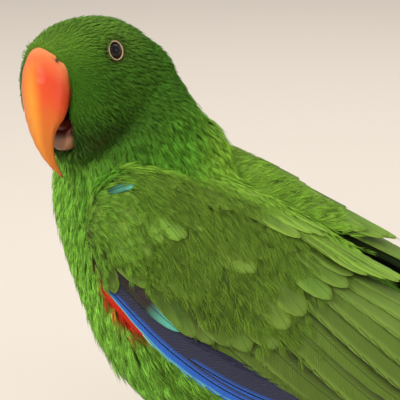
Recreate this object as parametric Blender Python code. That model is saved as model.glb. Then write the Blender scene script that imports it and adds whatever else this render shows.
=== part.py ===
"""Male eclectus parrot, life size, a still model: it crouches on both feet and looks round to its left.

The bird faces -X with its left side towards -Y, and +Z is up. All sizes in this file are in millimetres,
and closed_object() writes them as metres. Each part is a closed solid, and touching parts keep GAP clear.
"""
import math

import bmesh
import bpy
import numpy as np
from mathutils import Matrix, Vector

MM = 0.001
GAP = 0.3
LEFT, RIGHT = -1, 1

# Trunk and neck: back point (x, z), belly point (x, z) and half width of each cross-section, tail end first.
TRUNK = (
    (178, 40.5, 175, 34.5, 7),
    (162, 46, 156, 33, 13),
    (140, 53.5, 130, 30, 20),
    (112, 65, 98, 27, 28),
    (84, 84, 66, 26.5, 35),
    (60, 102, 36, 28, 39.5),
    (42, 115, 8, 37, 41),
    (33, 125, -11, 58, 38.5),
    (27, 133, -20, 80, 33.5),
    (23, 140, -26, 99, 28.5),
    (18, 149, -29, 118, 24),
    (7, 160, -27, 136, 19),
)
TRUNK_RINGS, TRUNK_SIDES = 20, 24

# Head, in its own frame (forward, left, up) about its centre: forward, top, bottom and half width.
HEAD_CENTRE = (-15, -8, 157)
HEAD_TURN, HEAD_NOD, HEAD_TILT = math.radians(59), math.radians(1), math.radians(12)
SKULL = (
    (-28, 3, -9, 7),
    (-24, 12, -16, 13),
    (-15, 18.5, -22, 18.5),
    (-4, 21, -24, 20.5),
    (6, 20.5, -24, 20),
    (12.5, 18.3, -23.5, 18),
    (17, 14, -21, 14.5),
    (19.5, 7, -15, 9),
)
SKULL_RINGS, SKULL_SIDES = 13, 20

# Where the flesh is parted: a point (x, y, z) on the cut and the direction of the upper part.
NECK_TOP = ((-16, -5, 141), (-0.3, -0.2, 1))
NECK_FOOT = ((-6, 0, 122), (-0.45, 0, 1))

# Eyes and lids, in the head's frame.
EYE_CENTRE = (3.8, 14.2, 9.3)
EYE_LOOK = (0.16, 1, 0.02)
EYE_RADIUS, SOCKET_RADIUS = 4.7, 5.0
LID_RADIUS, LID_THICKNESS, LID_OUT = 4.1, 0.9, 3.0

# Upper mandible: culmen (forward, up), cutting edge (forward, up), half width, from the head to the tip.
UPPER_BILL = (
    (10.2, 15.7, 7.3, -1.9, 7.8),
    (16.7, 15.7, 10.4, -2.5, 8.1),
    (21.6, 13.3, 13.3, -5.3, 8.2),
    (24.9, 8.1, 16, -8, 8.1),
    (26.7, 0, 18.8, -10, 7.2),
    (27.6, -8.1, 21.5, -10.8, 5.5),
    (27.5, -15.2, 23.4, -13.9, 3.6),
    (25.4, -20.9, 23.1, -18.6, 2.2),
    (22.4, -25.2, 21.5, -23.7, 1.1),
)
BILL_TIP = (20.5, -26.8)
UPPER_RINGS, BILL_SIDES = 12, 14

# Lower mandible: a scoop, (forward, rim height, keel height, half width), hinge first.
LOWER_BILL = (
    (2, -7, -14, 6),
    (7, -8, -17.5, 6.6),
    (12, -9.2, -19, 6.4),
    (16.5, -11, -19, 5.4),
    (19.2, -13, -18, 3.8),
)
LOWER_WALL = 1.3
TONGUE = ((4, -9.5, 2.6), (9, -10, 3.0), (14, -10.8, 3.1), (17, -12, 2.2))

MOUTH = ((3, -8, 5.6), (10, -8.6, 6.4), (18, -10, 6.4), (28, -11.5, 6.4))

NOSTRIL = (16.6, 5.9, 12.6)
NOSTRIL_RADIUS, NOSTRIL_DEPTH = 1.1, 3.0

# Folded wing, left side: x, lower edge (outward, z), upper edge (outward, z), thickness of the whole fold.
WING = (
    (-13, 36, 112, 35, 116, 2),
    (-11, 38.5, 98, 33, 126, 5),
    (0, 42.5, 84, 27, 131, 8),
    (18, 46, 70, 20, 127, 9.5),
    (44, 48, 57, 14, 115, 10),
    (76, 46, 48, 12.5, 95, 10),
    (108, 40, 43, 11.5, 77, 9.5),
    (142, 31, 41, 10.5, 62, 8.5),
    (178, 22, 37, 9, 48.5, 6.5),
    (208, 15.5, 30.5, 8, 38.5, 3),
)
FOLD_RINGS, FOLD_STEPS, ROOM_LOW, ROOM_HIGH = 22, 12, -0.15, 1.22
ROOM_INWARD, ROOM_OUTWARD, INWARD_LIMIT, FEATHER_LIMIT = 0.9, 1.8, 0.8, 1.14
RIGHT_LIFT = ((-13, 0), (10, 2), (45, 7), (90, 9), (140, 7), (208, 2))
CORE_END, CORE_RINGS, CORE_STEPS, CORE_INWARD = 72, 8, 8, -1
CORE_SINK = ((-13, 0), (0, 0.03), (20, 0.2), (45, 0.45), (72, 0.68))
VANE, SHAFT_RISE, VANE_TILT = 0.6, 0.25, 0.11

# Rows of feathers on the left wing, and some feathers of each from the lowest to the uppermost: root (x, q),
# tip (x, q), depth at root and tip as shares of the fold's thickness, half width. q runs from lower to upper edge.
FEATHER_ROWS = (
    ("primary", 6, (66, 0.06, 200, 0.15, 0.88, 0.84, 7), (78, 0.34, 170, 0.66, 0.7, 0.55, 7)),
    (
        "secondary",
        7,
        (16, 0.3, 70, 0.06, 0.5, 0.62, 8),
        (32, 0.74, 106, 0.16, 0.5, 0.42, 8.5),
        (46, 0.96, 138, 0.8, 0.4, 0.16, 8),
    ),
    (
        "greater_covert",
        7,
        (-2, 0.44, 20, 0.16, 0.35, 0.3, 6.5),
        (18, 0.62, 46, 0.3, 0.35, 0.2, 7.5),
        (40, 0.92, 73, 0.84, 0.28, 0.06, 7.5),
    ),
    (
        "median_covert",
        6,
        (-8, 0.52, 6, 0.24, 0.3, 0.2, 5),
        (8, 0.74, 30, 0.46, 0.25, 0.08, 6.5),
        (28, 0.98, 54, 0.92, 0.2, 0, 6.5),
    ),
    ("scapular", 4, (14, 1, 44, 0.92, 0.1, -0.1, 6), (46, 1, 88, 0.96, 0.15, -0.12, 6)),
    ("primary_covert", 2, (-7, 0.18, 62, 0.02, 0.6, 0.72, 5.5), (-6, 0.22, 22, 0.14, 0.35, 0.44, 4.5)),
)

# Tail: where the upper side of the middle pair starts and ends (x, z), and the spread of the six pairs.
TAIL_ROOT, TAIL_TIP = (142, 46), (244, 13)
TAIL_PAIRS, TAIL_STEP, TAIL_HALF_WIDTH = 6, 0.9, 8.5
TAIL_ROOT_SPREAD, TAIL_TIP_SPREAD, TAIL_INNER = 1.6, 3.2, 5.2
TAIL_BLOCK = ((138.5, 15, 46, 31), (146, 15.5, 44, 30), (156, 17, 40, 28), (166, 17, 36, 26.5), (174, 14, 32.5, 25.5))
TAIL_ROOM = ((138.2, 23, 47.5, 20), (142, 23, 46.8, 20), (152, 24, 43, 20), (165, 26, 38, 20), (186, 30, 31, 15))

# Legs, for a foot at (FOOT_X, +-FOOT_Y) on the floor.
FOOT_X, FOOT_Y = 46, 20
THIGH = ((14, 50, 11), (13, 40, 13), (11, 28, 12), (9, 18, 8), (8, 12.5, 5))
SHANK = ((8.2, 15, 3.9), (5.5, 11, 3.6), (2, 5.5, 4.0))
TOES = (
    ("front_outer", 20, 28, 3.6, 2.5),
    ("front_inner", -20, 20, 3.4, 2.4),
    ("back_outer", 152, 25, 3.5, 2.4),
    ("back_inner", -154, 14, 3.2, 2.2),
)
CLAW_LENGTH, CLAW_SIDES = 9.5, 7

COLOURS = {
    "green": (0.06, 0.22, 0.02),
    "wing_green": (0.1, 0.24, 0.02),
    "tail_green": (0.05, 0.2, 0.04),
    "bill_orange": (0.9, 0.2, 0.03),
    "bill_black": (0.03, 0.012, 0.01),
    "tongue": (0.3, 0.12, 0.08),
    "eye": (0.01, 0.008, 0.008),
    "foot_grey": (0.12, 0.12, 0.12),
    "claw": (0.03, 0.03, 0.035),
}


def clear_scene():
    for old in list(bpy.data.objects):
        bpy.data.objects.remove(old, do_unlink=True)


def material(slot, roughness=0.6):
    """A plain Principled finish, made once for each slot."""
    made = bpy.data.materials.get(slot)
    if made is None:
        made = bpy.data.materials.new(slot)
        made.use_nodes = True
        shader = made.node_tree.nodes["Principled BSDF"]
        shader.inputs["Base Color"].default_value = (*COLOURS[slot], 1)
        shader.inputs["Roughness"].default_value = roughness
    return made


def closed_object(name, points, faces, slot):
    """A mesh object from points in millimetres, with its faces turned outwards."""
    mesh = bpy.data.meshes.new(name)
    mesh.from_pydata([tuple(float(v) * MM for v in p) for p in points], [], faces)
    shape = bmesh.new()
    shape.from_mesh(mesh)
    bmesh.ops.recalc_face_normals(shape, faces=shape.faces)
    if shape.calc_volume(signed=True) < 0:
        bmesh.ops.reverse_faces(shape, faces=shape.faces)
    bmesh.ops.triangulate(shape, faces=shape.faces)
    shape.to_mesh(mesh)
    shape.free()
    mesh.materials.append(material(slot))
    made = bpy.data.objects.new(name, mesh)
    bpy.context.scene.collection.objects.link(made)
    return made


def loft(name, rings, slot):
    """One closed skin over a row of rings with as many points each. Both ends are closed by a point."""
    rings = [np.asarray(ring, float) for ring in rings]
    sides = len(rings[0])
    points = [p for ring in rings for p in ring]
    faces = []
    for row in range(len(rings) - 1):
        for k in range(sides):
            after = (k + 1) % sides
            low, high = row * sides, (row + 1) * sides
            faces.append((low + k, low + after, high + after, high + k))
    for ring, start in ((rings[0], 0), (rings[-1], (len(rings) - 1) * sides)):
        points.append(ring.mean(axis=0))
        hub = len(points) - 1
        faces += [(start + k, start + (k + 1) % sides, hub) for k in range(sides)]
    return closed_object(name, points, faces, slot)


def along(rows, t):
    """The rows of a table at fractional row numbers, on a smooth curve through every row."""
    rows = np.asarray(rows, float)
    t = np.clip(np.asarray(t, float), 0, len(rows) - 1)
    first = np.minimum(t.astype(int), len(rows) - 2)
    share = (t - first)[..., None]
    last = len(rows) - 1
    a, b, c, d = (rows[np.clip(first + k, 0, last)] for k in (-1, 0, 1, 2))
    return 0.5 * (
        2 * b
        + (c - a) * share
        + (2 * a - 5 * b + 4 * c - d) * share**2
        + (3 * b - a - 3 * c + d) * share**3
    )


def round_the(centre, up, side, sides, squareness=2.0):
    """A ring of points round centre, with half axes up and side."""
    turn = np.arange(sides) * 2 * math.pi / sides
    power = 2 / squareness
    c, s = np.cos(turn), np.sin(turn)
    c, s = np.sign(c) * np.abs(c) ** power, np.sign(s) * np.abs(s) ** power
    return np.asarray(centre) + c[:, None] * np.asarray(up) + s[:, None] * np.asarray(side)


def head_frame():
    """The head's own frame as a matrix: forward, left and up become world directions, in millimetres."""
    turn = Matrix.Rotation(HEAD_TURN, 4, "Z")
    facing = Matrix(((-1, 0, 0, 0), (0, -1, 0, 0), (0, 0, 1, 0), (0, 0, 0, 1)))
    nod = Matrix.Rotation(HEAD_NOD, 4, "Y")
    tilt = Matrix.Rotation(HEAD_TILT, 4, "X")
    return Matrix.Translation(HEAD_CENTRE) @ turn @ facing @ nod @ tilt


HEAD = head_frame()


def on_head(points):
    return [HEAD @ Vector(p) for p in points]


def head_direction(direction):
    return (HEAD.to_3x3() @ Vector(direction)).normalized()


def apply_shape(target):
    """Replaces the object's mesh by what its modifiers make of it."""
    bpy.context.view_layer.update()
    graph = bpy.context.evaluated_depsgraph_get()
    mesh = bpy.data.meshes.new_from_object(target.evaluated_get(graph))
    target.modifiers.clear()
    target.data = mesh


def keep_largest(target):
    """Keeps the closed surface of greatest volume, so no scrap or sealed hollow stays."""
    shape = bmesh.new()
    shape.from_mesh(target.data)
    bmesh.ops.remove_doubles(shape, verts=shape.verts, dist=1e-6)
    bmesh.ops.dissolve_degenerate(shape, edges=shape.edges, dist=1e-6)
    left, islands = set(shape.faces), []
    while left:
        island, reached = set(), [left.pop()]
        while reached:
            face = reached.pop()
            island.add(face)
            for edge in face.edges:
                if len(edge.link_faces) == 2:
                    beyond = left.intersection(edge.link_faces)
                    left -= beyond
                    reached.extend(beyond)
        islands.append(island)

    def volume(island):
        return sum(
            corners[0].co.dot(corners[k].co.cross(corners[k + 1].co))
            for corners in (face.verts[:] for face in island)
            for k in range(1, len(corners) - 1)
        )

    kept = max(islands, key=volume)
    scraps = [face for face in shape.faces if face not in kept]
    bmesh.ops.delete(shape, geom=scraps, context="FACES")
    bmesh.ops.triangulate(shape, faces=shape.faces)
    shape.to_mesh(target.data)
    shape.free()


def join_into(target, pieces, solver="MANIFOLD"):
    """Fuses the pieces into target by one Boolean union."""
    group = bpy.data.collections.new(target.name + "_pieces")
    for piece in pieces:
        group.objects.link(piece)
    join = target.modifiers.new("join", "BOOLEAN")
    join.operation, join.solver = "UNION", solver
    join.operand_type, join.collection = "COLLECTION", group
    apply_shape(target)
    for piece in pieces:
        bpy.data.objects.remove(piece, do_unlink=True)
    bpy.data.collections.remove(group)
    keep_largest(target)


def grown(source, by=GAP):
    """A copy of a closed object with every wall moved outwards."""
    copy = source.copy()
    copy.data = source.data.copy()
    bpy.context.scene.collection.objects.link(copy)
    shape = bmesh.new()
    shape.from_mesh(copy.data)
    shape.normal_update()
    moves = []
    for corner in shape.verts:
        reach = max(0.45, corner.calc_shell_factor() ** -1) if corner.calc_shell_factor() else 1
        moves.append(corner.normal * by * MM / reach)
    for corner, move in zip(shape.verts, moves):
        corner.co += move
    shape.to_mesh(copy.data)
    shape.free()
    return copy


def carve(target, cutters, solver="MANIFOLD"):
    """Cuts the cutters out of target and removes them."""
    for cutter in cutters:
        cut = target.modifiers.new("cut", "BOOLEAN")
        cut.operation, cut.solver, cut.object = "DIFFERENCE", solver, cutter
        apply_shape(target)
        bpy.data.objects.remove(cutter, do_unlink=True)
    keep_largest(target)


def half_of(source, name, cuts):
    """A copy of source kept on the positive side of each cut, half a gap clear of it."""
    made = source.copy()
    made.name = name
    made.data = source.data.copy()
    made.data.name = name
    bpy.context.scene.collection.objects.link(made)
    shape = bmesh.new()
    shape.from_mesh(made.data)
    for point, direction in cuts:
        direction = Vector(direction).normalized()
        plane = (Vector(point) + direction * GAP / 2) * MM
        everything = shape.verts[:] + shape.edges[:] + shape.faces[:]
        cut = bmesh.ops.bisect_plane(
            shape, geom=everything, plane_co=plane, plane_no=direction, clear_inner=True
        )
        rim = [e for e in cut["geom_cut"] if isinstance(e, bmesh.types.BMEdge)]
        bmesh.ops.contextual_create(shape, geom=rim)
    bmesh.ops.triangulate(shape, faces=shape.faces)
    shape.to_mesh(made.data)
    shape.free()
    keep_largest(made)
    return made


def turned_over(direction):
    return tuple(-v for v in direction)


def build_flesh():
    """Trunk, neck and head as one skin."""
    rings = []
    for t in np.linspace(0, len(TRUNK) - 1, TRUNK_RINGS):
        back_x, back_z, belly_x, belly_z, half = along(TRUNK, t)
        middle = ((back_x + belly_x) / 2, 0, (back_z + belly_z) / 2)
        up = ((back_x - belly_x) / 2, 0, (back_z - belly_z) / 2)
        rings.append(round_the(middle, up, (0, half, 0), TRUNK_SIDES, 2.2))
    trunk = loft("trunk", rings, "green")
    rings = []
    for t in np.linspace(0, len(SKULL) - 1, SKULL_RINGS):
        forward, top, bottom, half = along(SKULL, t)
        up = (0, 0, (top - bottom) / 2)
        ring = round_the((forward, 0, (top + bottom) / 2), up, (0, half, 0), SKULL_SIDES, 2.1)
        rings.append(on_head(ring))
    skull = loft("skull", rings, "green")
    join_into(trunk, [skull])
    return trunk


def build_upper_bill():
    """The hooked upper mandible: an arched section over a flat underside, narrowing to the tip."""
    rings = []
    for t in np.linspace(0, len(UPPER_BILL) - 1, UPPER_RINGS):
        ridge_a, ridge_c, edge_a, edge_c, half = along(UPPER_BILL, t)
        ring = []
        for k in range(BILL_SIDES):
            turn = 2 * math.pi * k / BILL_SIDES
            rise = math.cos(turn)
            # The section's widest line lies near the cutting edge, and the underside is hollow.
            share = 0.5 + 0.5 * rise if rise > 0 else 0.5 + 0.42 * rise
            share = share ** (0.9 if rise > 0 else 1.0)
            width = half * math.copysign(abs(math.sin(turn)) ** 0.8, math.sin(turn))
            narrow = 1 - 0.35 * max(rise, 0) ** 2
            ring.append(
                (
                    edge_a + (ridge_a - edge_a) * share,
                    width * narrow,
                    edge_c + (ridge_c - edge_c) * share,
                )
            )
        rings.append(on_head(ring))
    tip = on_head([(BILL_TIP[0], 0, BILL_TIP[1])])[0]
    last = np.asarray(rings[-1])
    rings.append(np.asarray(tip) + (last - last.mean(axis=0)) * 0.25)
    return loft("upper_mandible", rings, "bill_orange")


def build_lower_bill():
    """The short lower mandible, a scoop with a floor and two thin side walls."""
    outer, hollow = [], []
    for t in np.linspace(0, len(LOWER_BILL) - 1, 8):
        forward, rim, keel, half = along(LOWER_BILL, t)
        outer.append(on_head(scoop_ring(forward, rim, keel, half)))
    for t in np.linspace(0, len(LOWER_BILL) - 1, 8):
        forward, rim, keel, half = along(LOWER_BILL, t)
        inner = scoop_ring(forward - LOWER_WALL, rim + 3, keel + 2.6, half - LOWER_WALL)
        hollow.append(on_head(inner))
    made = loft("lower_mandible", outer, "bill_black")
    carve(made, [loft("mouth_hollow", hollow, "bill_black")])
    return made


def scoop_ring(forward, rim, keel, half):
    """Half an oval below a straight rim line, in the head's frame."""
    ring = []
    for k in range(13):
        turn = math.pi * k / 12
        ring.append((forward, half * math.cos(turn), rim + (keel - rim) * math.sin(turn) ** 0.8))
    ring += [(forward, -half * share, rim) for share in (0.5, 0, -0.5)]
    return ring


def build_tongue():
    rings = [
        on_head(round_the((a, 0, c), (0, 0, r * 0.6), (0, r, 0), 10)) for a, c, r in TONGUE
    ]
    return loft("tongue", rings, "tongue")


def mouth_opening():
    """The open mouth between the mandibles, as a cutter that runs out in front of the face."""
    rings = [on_head(round_the((a, 0, c), (0, 0, 3), (0, r, 0), 12, 3)) for a, c, r in MOUTH]
    return loft("mouth", rings, "bill_black")


def ball(name, centre, radius, slot, rows=8, sides=14):
    """A ball with its poles up and down."""
    rings = []
    for row in range(1, rows):
        turn = math.pi * row / rows
        middle = (centre[0], centre[1], centre[2] + radius * math.cos(turn))
        r = radius * math.sin(turn)
        rings.append(round_the(middle, (r, 0, 0), (0, r, 0), sides))
    points = [p for ring in rings for p in ring]
    faces = []
    for row in range(rows - 2):
        for k in range(sides):
            after = (k + 1) % sides
            low, high = row * sides, (row + 1) * sides
            faces.append((low + k, low + after, high + after, high + k))
    for pole, start in ((radius, 0), (-radius, (rows - 2) * sides)):
        points.append((centre[0], centre[1], centre[2] + pole))
        hub = len(points) - 1
        faces += [(start + k, start + (k + 1) % sides, hub) for k in range(sides)]
    return closed_object(name, points, faces, slot)


def lid_ring(name, centre, look, radius, thickness, slot, steps=14, sides=5):
    """The rim of the eyelids: a ring round the line of sight."""
    look = Vector(look).normalized()
    side = look.cross(Vector((0, 0, 1))).normalized()
    up = side.cross(look)
    points, faces = [], []
    for i in range(steps):
        turn = 2 * math.pi * i / steps
        outward = side * math.cos(turn) + up * math.sin(turn)
        for k in range(sides):
            lean = 2 * math.pi * k / sides
            offset = outward * math.cos(lean) + look * math.sin(lean)
            points.append(Vector(centre) + outward * radius + offset * thickness)
    for i in range(steps):
        for k in range(sides):
            a, b = i * sides, ((i + 1) % steps) * sides
            after = (k + 1) % sides
            faces.append((a + k, a + after, b + after, b + k))
    return closed_object(name, points, faces, slot)


def tube(name, path, radii, slot, sides=10):
    """A closed tapered limb along a path of points."""
    path = [Vector(p) for p in path]
    rings = []
    for i, (centre, radius) in enumerate(zip(path, radii)):
        run = (path[min(i + 1, len(path) - 1)] - path[max(i - 1, 0)]).normalized()
        side = run.cross(Vector((0, 0, 1)))
        side = Vector((0, 1, 0)) if side.length < 1e-3 else side.normalized()
        up = side.cross(run)
        rings.append(round_the(centre, up * radius, side * radius, sides))
    return loft(name, rings, slot)


def finish_head(head):
    """Sockets, lids and nostrils in the head."""
    for side in (1, -1):
        centre = Vector((EYE_CENTRE[0], side * EYE_CENTRE[1], EYE_CENTRE[2]))
        look = Vector((EYE_LOOK[0], side * EYE_LOOK[1], EYE_LOOK[2])).normalized()
        name = "left" if side > 0 else "right"
        socket = ball("socket", HEAD @ centre, SOCKET_RADIUS, "green")
        rim_at = HEAD @ (centre + look * LID_OUT)
        lid = lid_ring("lid", rim_at, head_direction(look), LID_RADIUS, LID_THICKNESS, "green")
        join_into(head, [lid])
        opening = tube(
            "lid_opening",
            [HEAD @ (centre + look * reach) for reach in (1, 12)],
            [LID_RADIUS - LID_THICKNESS * 0.6] * 2,
            "green",
            14,
        )
        carve(head, [socket, opening])
        ball("eye_" + name, HEAD @ centre, EYE_RADIUS, "eye")
        hole_at = Vector((NOSTRIL[0], side * NOSTRIL[1], NOSTRIL[2]))
        into = Vector((-0.85, -0.35 * side, -0.4))
        hole = tube(
            "nostril",
            [HEAD @ (hole_at - into * NOSTRIL_DEPTH), HEAD @ (hole_at + into * NOSTRIL_DEPTH)],
            [NOSTRIL_RADIUS, NOSTRIL_RADIUS * 0.8],
            "green",
            8,
        )
        carve(head, [hole])


def wing_skin(t, q):
    """Outer surface of the folded left wing: t counts the rows of WING, q runs from lower to upper edge."""
    t, q = np.broadcast_arrays(np.asarray(t, float), np.asarray(q, float))
    x, low_y, low_z, top_y, top_z, _ = np.moveaxis(along(WING, t), -1, 0)
    turn = q * math.pi / 2
    y = top_y + (low_y - top_y) * np.cos(turn)
    z = low_z + (top_z - low_z) * np.sin(turn)
    return np.stack([x, -y, z], axis=-1)


def wing_normal(t, q):
    """Outward direction of the folded left wing's surface."""
    step = 0.02
    last = len(WING) - 1
    run = wing_skin(np.clip(t + step, 0, last), q) - wing_skin(np.clip(t - step, 0, last), q)
    rise = wing_skin(t, q + step) - wing_skin(t, q - step)
    out = np.cross(run, rise)
    return out / np.linalg.norm(out, axis=-1, keepdims=True)


def mirrored(points, side):
    """Points of the left wing as they are, or turned over to the right wing, which sits a little higher."""
    points = np.asarray(points, float)
    if side == LEFT:
        return points
    lift = np.interp(points[..., 0], *zip(*RIGHT_LIFT))
    return points * (1, -1, 1) + np.stack([lift * 0, lift * 0.2, lift], axis=-1)


def row_at(x):
    """The fractional row of WING at a given x."""
    return np.interp(x, [row[0] for row in WING], np.arange(len(WING)))


def build_fold(name, side, ground=False):
    """The room that a folded wing takes up, with its gap, or the ground that its feather rows lie on."""
    last = row_at(CORE_END) if ground else len(WING) - 1
    inward, ends = (CORE_INWARD, 0) if ground else (ROOM_INWARD, GAP)
    rings = []
    for t in np.linspace(0.04, last, CORE_RINGS if ground else FOLD_RINGS):
        x, *_, depth = along(WING, t)
        if ground:
            sink = depth * np.interp(x, *zip(*CORE_SINK))
            q = np.linspace(0, np.interp(x, (20, CORE_END), (1, 0.78)), CORE_STEPS)
        else:
            sink = -ROOM_OUTWARD
            q = np.linspace(ROOM_LOW, ROOM_HIGH, FOLD_STEPS)
        outer, normal = wing_skin(t, q), wing_normal(t, np.minimum(q, INWARD_LIMIT))
        ring = np.concatenate([outer - normal * sink, (outer - normal * (depth + inward))[::-1]])
        rings.append(mirrored(ring, side))
    rings[0][:, 0] -= ends
    rings[-1][:, 0] += ends
    return loft(name, rings, "wing_green")


def feather(name, slot, place, half_width):
    """A vane with its shaft raised a little: place(share, across, height) gives each of its points."""
    rings = []
    for share, width in ((0, 0.6), (0.4, 0.95), (0.75, 1), (0.93, 0.66), (1, 0.16)):
        w = half_width * width
        outline = ((-w, 0), (0, SHAFT_RISE), (w, 0), (w, -VANE), (-w, -VANE))
        rings.append([place(share, across, height) for across, height in outline])
    return loft(name, rings, slot)


def wing_feather(name, side, numbers):
    """One feather of the fold, its lower edge lying outermost."""
    root_x, root_q, tip_x, tip_q, root_sunk, tip_sunk, half_width = numbers

    def place(share, across, height):
        x = root_x + (tip_x - root_x) * share
        q = root_q + (tip_q - root_q) * share
        t = row_at(x)
        stretch = np.linalg.norm(wing_skin(t, q + 0.01) - wing_skin(t, q - 0.01)) / 0.02
        q_here = min(q + across / stretch, FEATHER_LIMIT)
        sunk = root_sunk + (tip_sunk - root_sunk) * share
        depth = along(WING, t)[5] * sunk + across * VANE_TILT - height
        return mirrored(wing_skin(t, q_here) - wing_normal(t, q_here) * depth, side)

    return feather(name, "wing_green", place, half_width)


def build_wing(name, side):
    """The ground of the wing with all its rows of feathers joined on."""
    ground = build_fold(name, side, ground=True)
    feathers = []
    for row, count, *given in FEATHER_ROWS:
        for k in range(count):
            numbers = along(given, k * (len(given) - 1) / (count - 1))
            feathers.append(wing_feather(f"{row}_{k}", side, numbers))
    join_into(ground, feathers)


def tail_feather(name, pair, side):
    """One tail feather: the middle pair lies on top, and each pair further out lies a step lower."""

    def place(share, across, height):
        x = TAIL_ROOT[0] + (TAIL_TIP[0] - 1.2 * pair - TAIL_ROOT[0]) * share
        fall = (x - TAIL_ROOT[0]) / (TAIL_TIP[0] - TAIL_ROOT[0])
        z = TAIL_ROOT[1] + (TAIL_TIP[1] - TAIL_ROOT[1]) * (fall + 0.12 * math.sin(math.pi * fall))
        spread = TAIL_ROOT_SPREAD + (TAIL_TIP_SPREAD - TAIL_ROOT_SPREAD) * share
        y = TAIL_INNER * (0.45 + 0.55 * share) + spread * pair + across
        drop = pair * TAIL_STEP + (0.25 if side == RIGHT else 0) + 0.05 * across
        return (x, side * y, z - drop + height)

    return feather(name, "tail_green", place, TAIL_HALF_WIDTH)


def flat_loft(name, rows):
    """A loft of upright rings in a row: x, half width, top and bottom of each."""
    rings = []
    for x, half, upper, lower in rows:
        up, side = (0, 0, (upper - lower) / 2), (0, half, 0)
        rings.append(round_the((x, 0, (upper + lower) / 2), up, side, 16, 2.5))
    return loft(name, rings, "tail_green")


def build_tail():
    """Twelve tail feathers on their root block."""
    block = flat_loft("tail", TAIL_BLOCK)
    feathers = [
        tail_feather(f"tail_feather_{pair}_{side}", pair, side)
        for pair in range(TAIL_PAIRS)
        for side in (LEFT, RIGHT)
    ]
    join_into(block, feathers)
    return block


def leg_path(rows, side):
    return [(FOOT_X + x, side * FOOT_Y, z) for x, z, _ in rows]


def build_leg(side, torso):
    """Thigh, shank, foot and claws of one leg."""
    name = "left" if side == LEFT else "right"
    thigh = tube("thigh_" + name, leg_path(THIGH, side), [r for *_, r in THIGH], "green", 14)
    carve(thigh, [grown(torso)])
    shank = tube("shank_" + name, leg_path(SHANK, side), [r for *_, r in SHANK], "foot_grey", 12)
    carve(shank, [grown(thigh)])
    root = Vector((FOOT_X, side * FOOT_Y, 0))
    foot = ball("foot_" + name, root + Vector((1, 0, 3.4)), 4.6, "foot_grey", 5, 10)
    toes = []
    for toe, angle, length, thick, thin in TOES:
        turn = math.radians(angle) * side
        run = Vector((-math.cos(turn), math.sin(turn), 0))
        path = [root + run * length * share for share in (0, 0.3, 0.45, 0.75, 1)]
        radii = [thick, thick * 0.92, thick, thin * 0.95, thin]
        for point, radius in zip(path, radii):
            point.z = radius * 0.82
        toes.append(tube("toe_" + toe, path, radii, "foot_grey", 8))
        build_claw(f"claw_{name}_{toe}", root + run * (length + GAP), run, thin)
    join_into(foot, toes)
    floor_flat(foot)
    carve(foot, [grown(shank)])


def build_claw(name, start, run, toe_radius):
    """A curved claw whose base faces the toe's end and whose tip comes down to the floor."""
    rings, steps = [], 6
    for i in range(steps):
        share = i / steps
        reach = CLAW_LENGTH * share
        height = toe_radius * 0.85 + 1.5 * math.sin(math.pi * share * 0.9) - 1.6 * share**2
        radius = toe_radius * 0.78 * (1 - share) ** 0.8
        lean = Vector((0, 0, 1)) if i == 0 else (Vector((0, 0, 1)) + run * share * 0.5).normalized()
        side = run.cross(Vector((0, 0, 1)))
        centre = start + run * reach + Vector((0, 0, height))
        rings.append(round_the(centre, lean * radius, side * radius * 0.8, CLAW_SIDES))
    return loft(name, rings, "claw")


def floor_flat(target):
    """Presses whatever reaches below the floor flat against it."""
    for corner in target.data.vertices:
        corner.co.z = max(corner.co.z, 0)


def centre_over_floor():
    """Moves the finished bird so that the origin is under the middle of its bounding box, on the floor."""
    bpy.context.view_layer.update()
    corners = np.array([v.co for o in bpy.context.scene.objects for v in o.data.vertices])
    low, high = corners.min(axis=0), corners.max(axis=0)
    move = Matrix.Translation((-(low[0] + high[0]) / 2, -(low[1] + high[1]) / 2, -low[2]))
    for made in bpy.context.scene.objects:
        made.data.transform(move)
    return move.translation


clear_scene()
flesh = build_flesh()
upper_bill = build_upper_bill()
lower_bill = build_lower_bill()
tongue = build_tongue()
carve(lower_bill, [grown(upper_bill)])
carve(tongue, [grown(upper_bill), grown(lower_bill)])
carve(flesh, [mouth_opening()])
head = half_of(flesh, "head", [NECK_TOP])
neck = half_of(flesh, "neck", [NECK_FOOT, (NECK_TOP[0], turned_over(NECK_TOP[1]))])
torso = half_of(flesh, "torso", [(NECK_FOOT[0], turned_over(NECK_FOOT[1]))])
bpy.data.objects.remove(flesh, do_unlink=True)
carve(head, [grown(upper_bill), grown(lower_bill), grown(tongue)])
finish_head(head)
tail = build_tail()
for wing_side in (LEFT, RIGHT):
    wing_name = "wing_left" if wing_side == LEFT else "wing_right"
    for flesh_part in (torso, neck):
        carve(flesh_part, [build_fold("wing_room", wing_side)])
    build_wing(wing_name, wing_side)
carve(torso, [flat_loft("tail_room", TAIL_ROOM)])
for leg_side in (LEFT, RIGHT):
    build_leg(leg_side, torso)
SHIFT = centre_over_floor()
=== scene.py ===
import math

import bmesh
import bpy
import numpy as np
from mathutils import Matrix, Vector


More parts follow.
